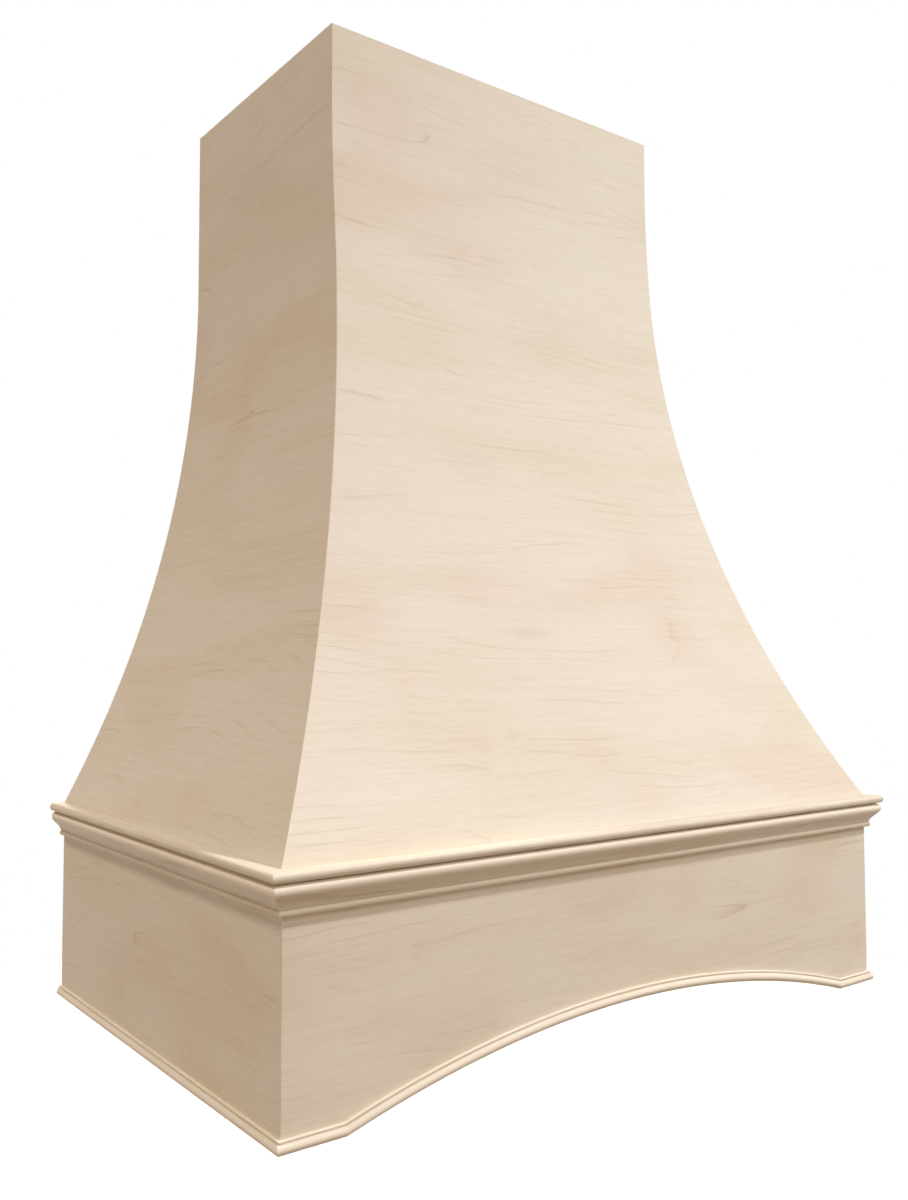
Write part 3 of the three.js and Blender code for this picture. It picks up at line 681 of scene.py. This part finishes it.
def zinc_plated_steel():
    material = bpy.data.materials.new("zinc-plated steel")
    tree = blank_tree(material)
    place = add(
        tree, "ShaderNodeVectorMath",
        {0: add(tree, "ShaderNodeTexCoord").outputs["Object"], "Scale": 1 / MM}, operation="SCALE",
    )
    bloom, scratch = (
        add(
            tree, "ShaderNodeTexNoise", {"Vector": place, "Scale": 1 / ZINC[pattern], "Detail": 2.0},
        ).outputs["Fac"]
        for pattern in ("bloom", "scratch")
    )
    tint = add(
        tree, "ShaderNodeMix",
        {"Factor": bloom, 6: colour(ZINC["tints"][0]), 7: colour(ZINC["tints"][1])}, data_type="RGBA",
    )
    rough = add(
        tree, "ShaderNodeMapRange",
        {"Value": scratch, "To Min": ZINC["roughness"][0], "To Max": ZINC["roughness"][1]},
    )
    bump = add(
        tree, "ShaderNodeBump",
        {"Strength": ZINC["bump"], "Distance": ZINC["bump depth"] * MM, "Height": scratch},
    )
    shader = add(
        tree, "ShaderNodeBsdfPrincipled",
        {"Base Color": tint.outputs[2], "Metallic": 1.0, "Roughness": rough, "Normal": bump},
    )
    add(tree, "ShaderNodeOutputMaterial", {"Surface": shader})
    return material


FINISHES = {
    "maple_veneer": wood("sliced maple veneer", VENEER),
    "solid_maple": wood("moulded solid maple", SOLID),
    "frame_plywood": wood("birch plywood", PLYWOOD),
    "frame_timber": wood("planed spruce", SPRUCE),
    "screw_steel": zinc_plated_steel(),
}


# ---- Profiles: (out from the apron's face, up) ----

def arc(centre, radii, start, end, steps=CURVE_STEPS):
    """Points on an arc or an ellipse, from one angle in degrees to another."""
    angles = np.radians(np.linspace(start, end, steps + 1))
    return [(centre[0] + radii[0] * math.cos(a), centre[1] + radii[1] * math.sin(a)) for a in angles]


def bezier(ends, steps=CURVE_STEPS):
    """Points on a cubic curve between its first and last point."""
    a, b, c, d = (np.array(point) for point in ends)
    shares = np.linspace(0, 1, steps + 1)
    return [
        tuple(a * (1 - t) ** 3 + 3 * b * t * (1 - t) ** 2 + 3 * c * t * t * (1 - t) + d * t ** 3)
        for t in shares
    ]


def ledge_profile():
    """A flat strip with a round nose. Up is measured from the ledge's top."""
    nose = (LEDGE_TOP - LEDGE_BOTTOM) / 2
    return [
        (-LEDGE_INSIDE, 0), (-LEDGE_INSIDE, -2 * nose),
        *arc((LEDGE_PROJECTION - nose, -nose), (nose, nose), -90, 90),
    ]


def bed_moulding_profile():
    """From the top down: a quirk, an ogee that swells out and sweeps back in, and a bead."""
    swell = MOULDING_OUT - MOULDING_QUIRK_OUT
    sweep_top = -MOULDING_QUIRK_HEIGHT - swell
    bead_top = MOULDING_BEAD_HEIGHT - MOULDING_HEIGHT
    sweep_height = sweep_top - bead_top
    sweep_depth = MOULDING_OUT - MOULDING_FOOT_OUT
    bead = MOULDING_BEAD_HEIGHT / 2
    return [
        (GLUE_LINE, 0), (MOULDING_QUIRK_OUT, 0),
        *arc((MOULDING_QUIRK_OUT, sweep_top), (swell, swell), 90, 0),
        *bezier((
            (MOULDING_OUT, sweep_top),
            (MOULDING_OUT, sweep_top - OGEE_UPPER_HANDLE * sweep_height),
            (
                MOULDING_FOOT_OUT + OGEE_LOWER_OUT * sweep_depth,
                sweep_top - OGEE_LOWER_HANDLE * sweep_height,
            ),
            (MOULDING_FOOT_OUT, bead_top),
        ))[1:],
        *arc((MOULDING_BEAD_OUT - bead, bead_top - bead), (bead, bead), 90, -90),
        (GLUE_LINE, -MOULDING_HEIGHT),
    ]


def trim_profile():
    """A cap under the apron panel, with a fillet, a groove and a bead outside. Up is from the rim."""
    groove = TRIM_HEIGHT - TRIM_FILLET_HEIGHT
    bead = groove - TRIM_GROOVE_HEIGHT
    edge = (TRIM_FILLET_OUT - TRIM_EDGE, TRIM_HEIGHT - TRIM_EDGE)
    return [
        (-APRON_PANEL, 0), (-APRON_PANEL, TRIM_HEIGHT),
        *arc(edge, (TRIM_EDGE, TRIM_EDGE), 90, 0, TRIM_EDGE_STEPS),
        (TRIM_FILLET_OUT, groove), (TRIM_GROOVE_OUT, groove),
        *arc((TRIM_GROOVE_OUT, bead / 2), (TRIM_OUT - TRIM_GROOVE_OUT, bead / 2), 90, -90),
    ]


def panel_profile():
    """The apron panel's thickness. Up is measured from its straight lower edge."""
    height = APRON_TOP - APRON_BOTTOM
    return [(0, 0), (0, height), (-APRON_PANEL, height), (-APRON_PANEL, 0)]


# Painted highlights on the crests of the profiles: the height of each one's middle in its profile, and its
# reach up and down from there.
SWELL_HIGHLIGHT = (-6.5 * MM, 6 * MM)
BEAD_HIGHLIGHT = (MOULDING_BEAD_HEIGHT / 2 - MOULDING_HEIGHT + 1.1 * MM, 2.4 * MM)
TRIM_BEAD_HIGHLIGHT = (6.4 * MM, 3.2 * MM)
TRIM_FILLET_HIGHLIGHT = (11.9 * MM, 1.2 * MM)
CREST_HIGHLIGHTS = {
    "bed_moulding": (SWELL_HIGHLIGHT, BEAD_HIGHLIGHT),
    "trim": (TRIM_BEAD_HIGHLIGHT, TRIM_FILLET_HIGHLIGHT),
}


def crest(name, up):
    """How much painted highlight a profile gets at a height, from 0 to 1."""
    return max([1 - ((up - middle) / reach) ** 2 for middle, reach in CREST_HIGHLIGHTS.get(name, ())] + [0.0])


# ---- Paths of the runs ----

# The last field is a point's share of the painted highlight along a mitred corner.
Station = namedtuple("Station", "rail across upright tangent along level arris")


def straight_station(rail, across, tangent, upright=UP, level=0.0, arris=0.0):
    return Station(rail, across, upright, tangent, rail.dot(tangent), level, arris)


# From a face to the mitre: how far before the corner and behind the face, and how much painted highlight it
# gets.
ARRIS_CURVE = [
    (ARRIS * (1 - math.sin(angle)) + JOINT / 2, ARRIS * (1 - math.cos(angle)), (4 * angle / math.pi) ** 2)
    for angle in np.linspace(0, math.pi / 4, ARRIS_STEPS + 1)
]


def rounded_corner(point, tangent, outward, sign):
    """From the straight stretch to the mitre: half of a sanded outside corner, with its painted highlight."""
    stations = []
    for back, inwards, highlight in ARRIS_CURVE:
        rail = point - sign * back * tangent - inwards * outward
        stations.append(straight_station(rail, outward + sign * tangent, tangent, level=point.z, arris=highlight))
    return stations


def front_ends(base):
    """The corners at the left and right end of a piece along the front."""
    return [
        rounded_corner(Vector((sign * HALF_WIDTH, APRON_FACE, base)), RIGHT, FORWARD, sign)
        for sign in SIDES.values()
    ]


def front_path(base):
    """Along the front, mitred at both corners."""
    left, right = front_ends(base)
    return left[::-1] + right


def side_path(base, sign):
    """Along a side, from the wall to the mitre at the front corner."""
    outward = Vector((sign, 0, 0))
    wall_end = Vector((sign * HALF_WIDTH, WALL, base))
    corner = Vector((sign * HALF_WIDTH, APRON_FACE, base))
    start = straight_station(wall_end, outward, FORWARD, level=wall_end.z)
    return [start, *rounded_corner(corner, FORWARD, outward, 1)]


ARCH_RADIUS = (ARCH_HALF_SPAN ** 2 + ARCH_RISE ** 2) / (2 * ARCH_RISE)
ARCH_CENTRE = TRIM_HEIGHT + ARCH_RISE - ARCH_RADIUS


def arch_point(up, share):
    """A point of the arch's line that lies up above the rim, at a share of the way to where that line meets
    the straight stretch."""
    radius = ARCH_RADIUS - TRIM_HEIGHT + up
    angle = share * math.acos((up - ARCH_CENTRE) / radius)
    return Vector((radius * math.sin(angle), APRON_FACE, ARCH_CENTRE + radius * math.cos(angle))), angle


def arch_path():
    """The trim along the arch, mitred to the straight stretches."""
    stations = []
    for share in np.linspace(-1, 1, ARCH_STATIONS + 1):
        low, angle = arch_point(0, share)
        high, _ = arch_point(TRIM_HEIGHT, share)
        tangent = Vector((math.cos(angle), 0, -math.sin(angle)))
        joint = tangent * share * JOINT / 2 if abs(share) == 1 else Vector()
        arch_length = (ARCH_RADIUS - TRIM_HEIGHT) * angle
        stations.append(Station(
            low - joint, FORWARD, (high - low) / TRIM_HEIGHT, tangent, arch_length, 0.0, 0.0,
        ))
    return stations


def shoulder_path(sign):
    """The straight trim between the arch and a front corner."""
    tangent = Vector((sign, 0, 0))
    low, _ = arch_point(0, sign)
    high, _ = arch_point(TRIM_HEIGHT, sign)
    kink = straight_station(low + tangent * JOINT / 2, FORWARD, tangent, (high - low) / TRIM_HEIGHT)
    corner = Vector((sign * HALF_WIDTH, APRON_FACE, 0))
    return [kink, *rounded_corner(corner, tangent, FORWARD, 1)]


def arched_panel_path():
    """The apron's front panel, whose height follows the arch."""
    full = APRON_TOP - APRON_BOTTOM
    left, right = front_ends(APRON_BOTTOM)
    arched = []
    for share in np.linspace(-1, 1, ARCH_STATIONS + 1):
        rail = arch_point(TRIM_HEIGHT, share)[0] + GLUE_LINE * UP
        arched.append(straight_station(rail, FORWARD, RIGHT, (APRON_TOP - rail.z) / full * UP, rail.z))
    return left[::-1] + arched + right


# ---- Pieces ----

def make_runs():
    """The ledge, the bed moulding, the bottom trim and the apron panels."""
    tree = moulded_run_tree()
    profiles = {}
    for name, points in (
        ("ledge", ledge_profile()), ("bed_moulding", bed_moulding_profile()),
        ("trim", trim_profile()), ("panel", panel_profile()),
    ):
        # Each profile point carries its share of the painted highlight on the crests.
        outline = line_mesh(
            name, [(out, 0, up) for out, up in points], True, crest=[crest(name, up) for _, up in points],
        )
        profiles[name] = scene_object(name + "_profile", outline)
    runs = [
        ("ledge_front", "ledge", front_path(LEDGE_TOP), "solid_maple"),
        ("bed_moulding_front", "bed_moulding", front_path(MOULDING_TOP), "solid_maple"),
        ("bottom_trim_arch", "trim", arch_path(), "solid_maple"),
        ("apron_front_panel", "panel", arched_panel_path(), "maple_veneer"),
    ]
    for side, sign in SIDES.items():
        runs += [
            (f"ledge_{side}", "ledge", side_path(LEDGE_TOP, sign), "solid_maple"),
            (f"bed_moulding_{side}", "bed_moulding", side_path(MOULDING_TOP, sign), "solid_maple"),
            (f"bottom_trim_{side}", "trim", side_path(0, sign), "solid_maple"),
            (f"bottom_trim_front_{side}", "trim", shoulder_path(sign), "solid_maple"),
            (f"apron_{side}_panel", "panel", side_path(APRON_BOTTOM, sign), "maple_veneer"),
        ]
    for node, profile, stations, slot in runs:
        told = {field: [getattr(s, field) for s in stations] for field in Station._fields[1:]}
        path = line_mesh(node, [s.rail for s in stations], False, **told)
        board = next_board()
        mesh = grown(tree, path, {"Profile": profiles[profile], "Board": board, "Finish": FINISHES[slot]})
        face_out(mesh)
        note_depth(mesh, board)
        finish_piece(mesh, [node], thickness=APRON_PANEL)
    for profile in profiles.values():
        bpy.data.objects.remove(profile)


def note_depth(mesh, board):
    """Keeps the depth behind the face, without the board's own place, for the leaves of plywood."""
    grain = np.empty(len(mesh.vertices) * 3, np.float32)
    mesh.attributes["grain"].data.foreach_get("vector", grain)
    number_attribute(mesh, "depth", grain[2::3] - np.float32(board.z))


def front_section():
    """The plan section of the body's front panel: each point's offset, its share of width, depth and skin,
    and its share of painted highlight."""
    points = []
    for back, inwards, highlight in ARRIS_CURVE[::-1]:
        points.append(((back, inwards), (-1, -1, 0), highlight))
    for share in np.linspace(-1, 1, PANEL_COLUMNS + 1)[1:-1]:
        points.append(((0, 0), (share, -1, 0), 0))
    for back, inwards, highlight in ARRIS_CURVE:
        points.append(((-back, inwards), (1, -1, 0), highlight))
    for share in np.linspace(1, -1, PANEL_COLUMNS + 1):
        points.append(((-share * JOINT / 2, 0), (share, -1, SKIN), 0))
    return points


def side_section(sign):
    """The plan section of a body side panel, from the mitre to the wall and back."""
    points = []
    for back, inwards, highlight in ARRIS_CURVE[::-1]:
        points.append(((-sign * inwards, back), (sign, -1, 0), highlight))
    for share in np.linspace(-1, 0, PANEL_COLUMNS + 1)[1:]:
        points.append(((0, 0), (sign, share, 0), 0))
    for share in np.linspace(0, -1, PANEL_COLUMNS + 1):
        points.append(((0, -share * JOINT / 2), (sign, share, SKIN), 0))
    return points


def make_body():
    """The three flared panels."""
    tree = flared_panel_tree()
    sizes = {
        "Bottom": BODY_BOTTOM, "Top": BODY_TOP, "Rows": BODY_ROWS,
        "Chimney Half Width": CHIMNEY_HALF_WIDTH, "Chimney Depth": CHIMNEY_DEPTH,
        "Side Flare Top": SIDE_FLARE_TOP, "Front Flare Top": FRONT_FLARE_TOP,
    }
    reaches = {
        "Side": (SIDE_FLARE_TOP, HALF_WIDTH - CHIMNEY_HALF_WIDTH),
        "Front": (FRONT_FLARE_TOP, WALL - APRON_FACE - CHIMNEY_DEPTH),
    }
    for face, (top, reach) in reaches.items():
        sizes[face + " Flare Radius"] = ((top - LEDGE_TOP) ** 2 + reach ** 2) / (2 * reach)
    panels = [("body_front_panel", front_section(), (1, 0, 0))]
    panels += [(f"body_{side}_panel", side_section(sign), (0, 1, 0)) for side, sign in SIDES.items()]
    for node, section, direction in panels:
        # Each point's last value is its share of the painted highlight along the mitre.
        offsets, shares, highlight = zip(*section)
        plan = line_mesh(
            node, [(x, WALL + y, 0) for x, y in offsets], True, share=shares, arris=[float(w) for w in highlight],
        )
        board = next_board()
        mesh = grown(tree, plan, {
            **sizes, "Grain Direction": direction, "Board": board, "Finish": FINISHES["maple_veneer"],
        })
        face_out(mesh)
        note_depth(mesh, board)
        finish_piece(mesh, [node], thickness=SKIN)


def grain_by_box(mesh):
    """Grain along the longest side of a board, and depth through its thinnest."""
    places = np.array([vertex.co for vertex in mesh.vertices], np.float32)
    low, high = places.min(0), places.max(0)
    thin, wide, long = np.argsort(high - low)
    grain = (places - low)[:, [long, wide, thin]]
    depth = grain[:, 2].copy()
    grain += np.array(next_board(), np.float32)
    mesh.attributes.new("grain", "FLOAT_VECTOR", "POINT").data.foreach_set("vector", grain.ravel())
    number_attribute(mesh, "depth", depth)
    return float((high - low)[thin])


def finish_board(mesh, node, slot):
    mesh.materials.clear()
    mesh.materials.append(FINISHES[slot])
    thickness = grain_by_box(mesh)
    finish_piece(mesh, [node], thickness=thickness)


def eased_board(node, slot):
    """A board of the frame: the CAD solid with its sawn edges broken."""
    mesh = frame["nodes"][node].data.copy()
    board = bmesh.new()
    board.from_mesh(mesh)
    bmesh.ops.remove_doubles(board, verts=board.verts, dist=MERGED_IN_BOARD)
    bmesh.ops.dissolve_limit(board, angle_limit=FLAT, verts=board.verts, edges=board.edges)
    edges = [
        edge for edge in board.edges
        if edge.is_manifold and edge.calc_face_angle() > SHARP and edge.calc_length() > SHORT_EDGE
    ]
    bmesh.ops.bevel(
        board, geom=edges, offset=EASED, offset_type="OFFSET", segments=2, profile=0.5,
        affect="EDGES", clamp_overlap=True,
    )
    board.to_mesh(mesh)
    board.free()
    for layer in list(mesh.uv_layers):
        mesh.uv_layers.remove(layer)
    finish_board(mesh, node, slot)


def make_frame():
    """The ledge's rear strip, and everything that the record gives a frame finish but the insert panel."""
    for part in frame["record"]["subparts"]:
        node, slot = part["node"], part["material_slot"]
        if node == "ledge_rear" or (slot.startswith("frame_") and node != "insert_panel"):
            eased_board(node, slot)


def make_insert_panel():
    """The board with the cut-out for the metal insert and eight screw holes, all with broken edges."""
    curve = bpy.data.curves.new("insert_panel", "CURVE")
    curve.dimensions = "2D"
    curve.fill_mode = "BOTH"
    curve.extrude = (PANEL_HIGH.z - PANEL_LOW.z) / 2 - EASED
    curve.bevel_depth = EASED
    curve.bevel_resolution = 1
    curve.offset = -EASED
    (low_x, low_y, _), (high_x, high_y, _) = PANEL_LOW, PANEL_HIGH
    x, y = high_x - CUTOUT_RIM_SIDE - CUTOUT_CORNER, high_y - CUTOUT_RIM_FRONT - CUTOUT_CORNER
    middle = (low_y + high_y) / 2
    corner = (CUTOUT_CORNER, CUTOUT_CORNER)
    outlines = [
        [(low_x, low_y), (high_x, low_y), (high_x, high_y), (low_x, high_y)],
        [
            *arc((x, y), corner, 0, 90), *arc((-x, y), corner, 90, 180),
            *arc((-x, 2 * middle - y), corner, 180, 270), *arc((x, 2 * middle - y), corner, 270, 360),
        ],
    ]
    for node in SCREW_NODES:
        centre = sum(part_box(node), Vector()) / 2
        outlines.append(arc(centre, (SCREW_HOLE_RADIUS, SCREW_HOLE_RADIUS), 0, 360, SCREW_SIDES)[:-1])
    for points in outlines:
        spline = curve.splines.new("POLY")
        spline.points.add(len(points) - 1)
        spline.use_cyclic_u = True
        for point, (px, py) in zip(spline.points, points):
            point.co = (px, py, 0, 1)
    flat = scene_object("insert_panel_outline", curve)
    mesh = evaluated_mesh(flat)
    bpy.data.objects.remove(flat)
    mesh.transform(Matrix.Translation((0, 0, (PANEL_LOW.z + PANEL_HIGH.z) / 2)))
    face_out(mesh)
    finish_board(mesh, "insert_panel", "frame_plywood")


def screw_mesh():
    """A countersunk wood screw that points up, with its head's face at height 0 and a square drive in it."""
    angles = np.linspace(0, math.tau, SCREW_SIDES, endpoint=False)

    def circle(radius, z):
        return [(radius * math.cos(a), radius * math.sin(a), z) for a in angles]

    def square(half, z):
        reach = [half / max(abs(math.cos(a)), abs(math.sin(a))) for a in angles]
        return [(r * math.cos(a), r * math.sin(a), z) for r, a in zip(reach, angles)]

    rings = [
        square(SCREW_DRIVE / 2 - SCREW_EDGE, SCREW_DRIVE_DEPTH),
        square(SCREW_DRIVE / 2, SCREW_EDGE),
        square(SCREW_DRIVE / 2 + SCREW_EDGE, 0),
        circle(SCREW_HEAD_RADIUS - SCREW_EDGE, 0),
        circle(SCREW_HEAD_RADIUS, SCREW_EDGE),
        circle(SCREW_HEAD_RADIUS, SCREW_HEAD_RIM),
        circle(SCREW_RADIUS, SCREW_HEAD_HEIGHT),
        circle(SCREW_RADIUS, SCREW_LENGTH - SCREW_POINT),
        circle(SCREW_TIP * SCREW_RADIUS, SCREW_LENGTH),
    ]
    points = [point for ring in rings for point in ring]
    faces = []
    for start in range(0, len(points) - SCREW_SIDES, SCREW_SIDES):
        for i in range(SCREW_SIDES):
            a, b = start + i, start + (i + 1) % SCREW_SIDES
            faces.append((a, b, b + SCREW_SIDES, a + SCREW_SIDES))
    faces.append(tuple(range(SCREW_SIDES)))
    faces.append(tuple(range(len(points) - SCREW_SIDES, len(points))))
    mesh = bpy.data.meshes.new("screw")
    mesh.from_pydata(points, [], faces)
    face_out(mesh)
    return mesh


def make_screws():
    screw = scene_object("screw", screw_mesh())
    heads = []
    for node in SCREW_NODES:
        low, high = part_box(node)
        heads.append(((low.x + high.x) / 2, (low.y + high.y) / 2, low.z))
    places = line_mesh("screw_places", heads, False)
    mesh = grown(
        screws_tree(), places, {"Screw": screw, "Seed": SCREW_SEED, "Finish": FINISHES["screw_steel"]},
    )
    bpy.data.objects.remove(screw)
    face_out(mesh)
    finish_piece(mesh, SCREW_NODES, name="insert_screws_finished")


# ---- Camera, lamps and floor ----

# The photograph was taken from the left front, a little below the middle of the hood, looking slightly up.
CAMERA_PLACE = Vector((-0.9534, -1.2162, 0.4448))
CAMERA_YAW = math.radians(36.97)  # to the right of straight at the wall
CAMERA_PITCH = math.radians(3.03)
CAMERA_ROLL = math.radians(-0.09)
CAMERA_LENS = 33.67  # mm, on a sensor whose long side is 36 mm

FLOOR_DROP = 1.65  # the rim hangs this far above the kitchen floor
FLOOR_RADIUS = 7.0
FLOOR_SEEN = "#F4F3F0"
FLOOR_BOUNCE = "#95897B"  # the floor sends little light, and warm, back up to the hood
FLOOR_GLOW = 0.12  # what is seen on top of the floor's own light, so that it is white


def make_camera():
    camera = scene_object("camera", bpy.data.cameras.new("camera"))
    camera.data.lens = CAMERA_LENS
    camera.matrix_world = (
        Matrix.Translation(CAMERA_PLACE)
        @ Matrix.Rotation(-CAMERA_YAW, 4, "Z")
        @ Matrix.Rotation(math.pi / 2 + CAMERA_PITCH, 4, "X")
        @ Matrix.Rotation(CAMERA_ROLL, 4, "Z")
    )
    bpy.context.scene.camera = camera


# Far lamps: where the light comes from, the level it gives a surface that faces it, of which 1 shows white as
# white, its colour, and how wide the lamp looks, in degrees.
FAR_LAMPS = {
    "key": ((0.6, -0.47, 1.0), 0.78, "#F6F6FF", 3.0),
    "high left": ((-0.45, 0.4, 1.0), 0.46, "#FFFAF4", 6.0),
    "front fill": ((0.1, -1.0, 0.6), 0.2, "#FFE8D6", 50.0),
    "left fill": ((-1.0, -0.1, 0.2), 0.16, "#FFE3D2", 60.0),
    "behind": ((0.5, 1.0, 0.3), 0.35, "#FFF4E8", 30.0),
}
SOFTBOX_PLACE = Vector((1.05, -1.5, 1.55))
SOFTBOX_AIM = Vector((0, 0, 0.6))
SOFTBOX_SIDE = 0.5
SOFTBOX_POWER = 12.0
SOFTBOX_COLOUR = "#E4F4FF"
SKY = "#FFE9D2"
SKY_LEVEL = 0.13


def make_lamps():
    for name, (direction, level, code, width) in FAR_LAMPS.items():
        lamp = bpy.data.lights.new(name, "SUN")
        lamp.energy = level * math.pi
        lamp.color = colour(code)[:3]
        lamp.angle = math.radians(width)
        placed = scene_object(name, lamp)
        placed.rotation_euler = Vector(direction).to_track_quat("Z", "Y").to_euler()
    softbox = bpy.data.lights.new("softbox", "AREA")
    softbox.size = SOFTBOX_SIDE
    softbox.energy = SOFTBOX_POWER
    softbox.color = colour(SOFTBOX_COLOUR)[:3]
    placed = scene_object("softbox", softbox)
    placed.location = SOFTBOX_PLACE
    placed.rotation_euler = (SOFTBOX_PLACE - SOFTBOX_AIM).to_track_quat("Z", "Y").to_euler()


def seen_directly(tree):
    """1 for what the camera sees, also in gloss or through glass, and 0 for light on its way to the hood."""
    ray = add(tree, "ShaderNodeLightPath")
    gloss = add(
        tree, "ShaderNodeMath",
        {0: ray.outputs["Is Camera Ray"], 1: ray.outputs["Is Glossy Ray"]}, operation="MAXIMUM",
    )
    return add(
        tree, "ShaderNodeMath", {0: gloss, 1: ray.outputs["Is Transmission Ray"]}, operation="MAXIMUM",
    )


def make_sky():
    """Even light from all round. The camera, gloss and glass see plain white instead."""
    world = bpy.data.worlds.new("studio")
    bpy.context.scene.world = world
    tree = blank_tree(world)
    seen = seen_directly(tree)
    light = add(tree, "ShaderNodeBackground", {"Color": colour(SKY), "Strength": SKY_LEVEL})
    white = add(tree, "ShaderNodeBackground", {"Color": (1, 1, 1, 1), "Strength": 1.0})
    mixed = add(tree, "ShaderNodeMixShader", {0: seen, 1: light, 2: white})
    add(tree, "ShaderNodeOutputWorld", {"Surface": mixed})


def make_floor():
    """A plain pale floor, as far below the rim as a kitchen's. It keeps the hood's shadow."""
    disc = bmesh.new()
    bmesh.ops.create_circle(disc, cap_ends=True, radius=FLOOR_RADIUS, segments=FLOOR_SIDES)
    mesh = bpy.data.meshes.new("floor")
    disc.to_mesh(mesh)
    disc.free()
    mesh.transform(Matrix.Translation((0, 0, -FLOOR_DROP)))
    material = bpy.data.materials.new("pale studio floor")
    tree = blank_tree(material)
    seen = seen_directly(tree)
    pale = add(
        tree, "ShaderNodeMix",
        {"Factor": seen, 6: colour(FLOOR_BOUNCE), 7: colour(FLOOR_SEEN)}, data_type="RGBA",
    )
    own = add(tree, "ShaderNodeBsdfDiffuse", {"Color": pale.outputs[2]})
    glow = add(tree, "ShaderNodeMath", {0: seen, 1: FLOOR_GLOW}, operation="MULTIPLY")
    lit = add(tree, "ShaderNodeEmission", {"Strength": glow})
    both = add(tree, "ShaderNodeAddShader", {0: own, 1: lit})
    add(tree, "ShaderNodeOutputMaterial", {"Surface": both})
    mesh.materials.append(material)
    scene_object("floor", mesh)


make_camera()
make_body()
make_runs()
make_frame()
make_insert_panel()
make_screws()
make_lamps()
make_sky()
make_floor()
bpy.context.scene.view_settings.view_transform = "Standard"
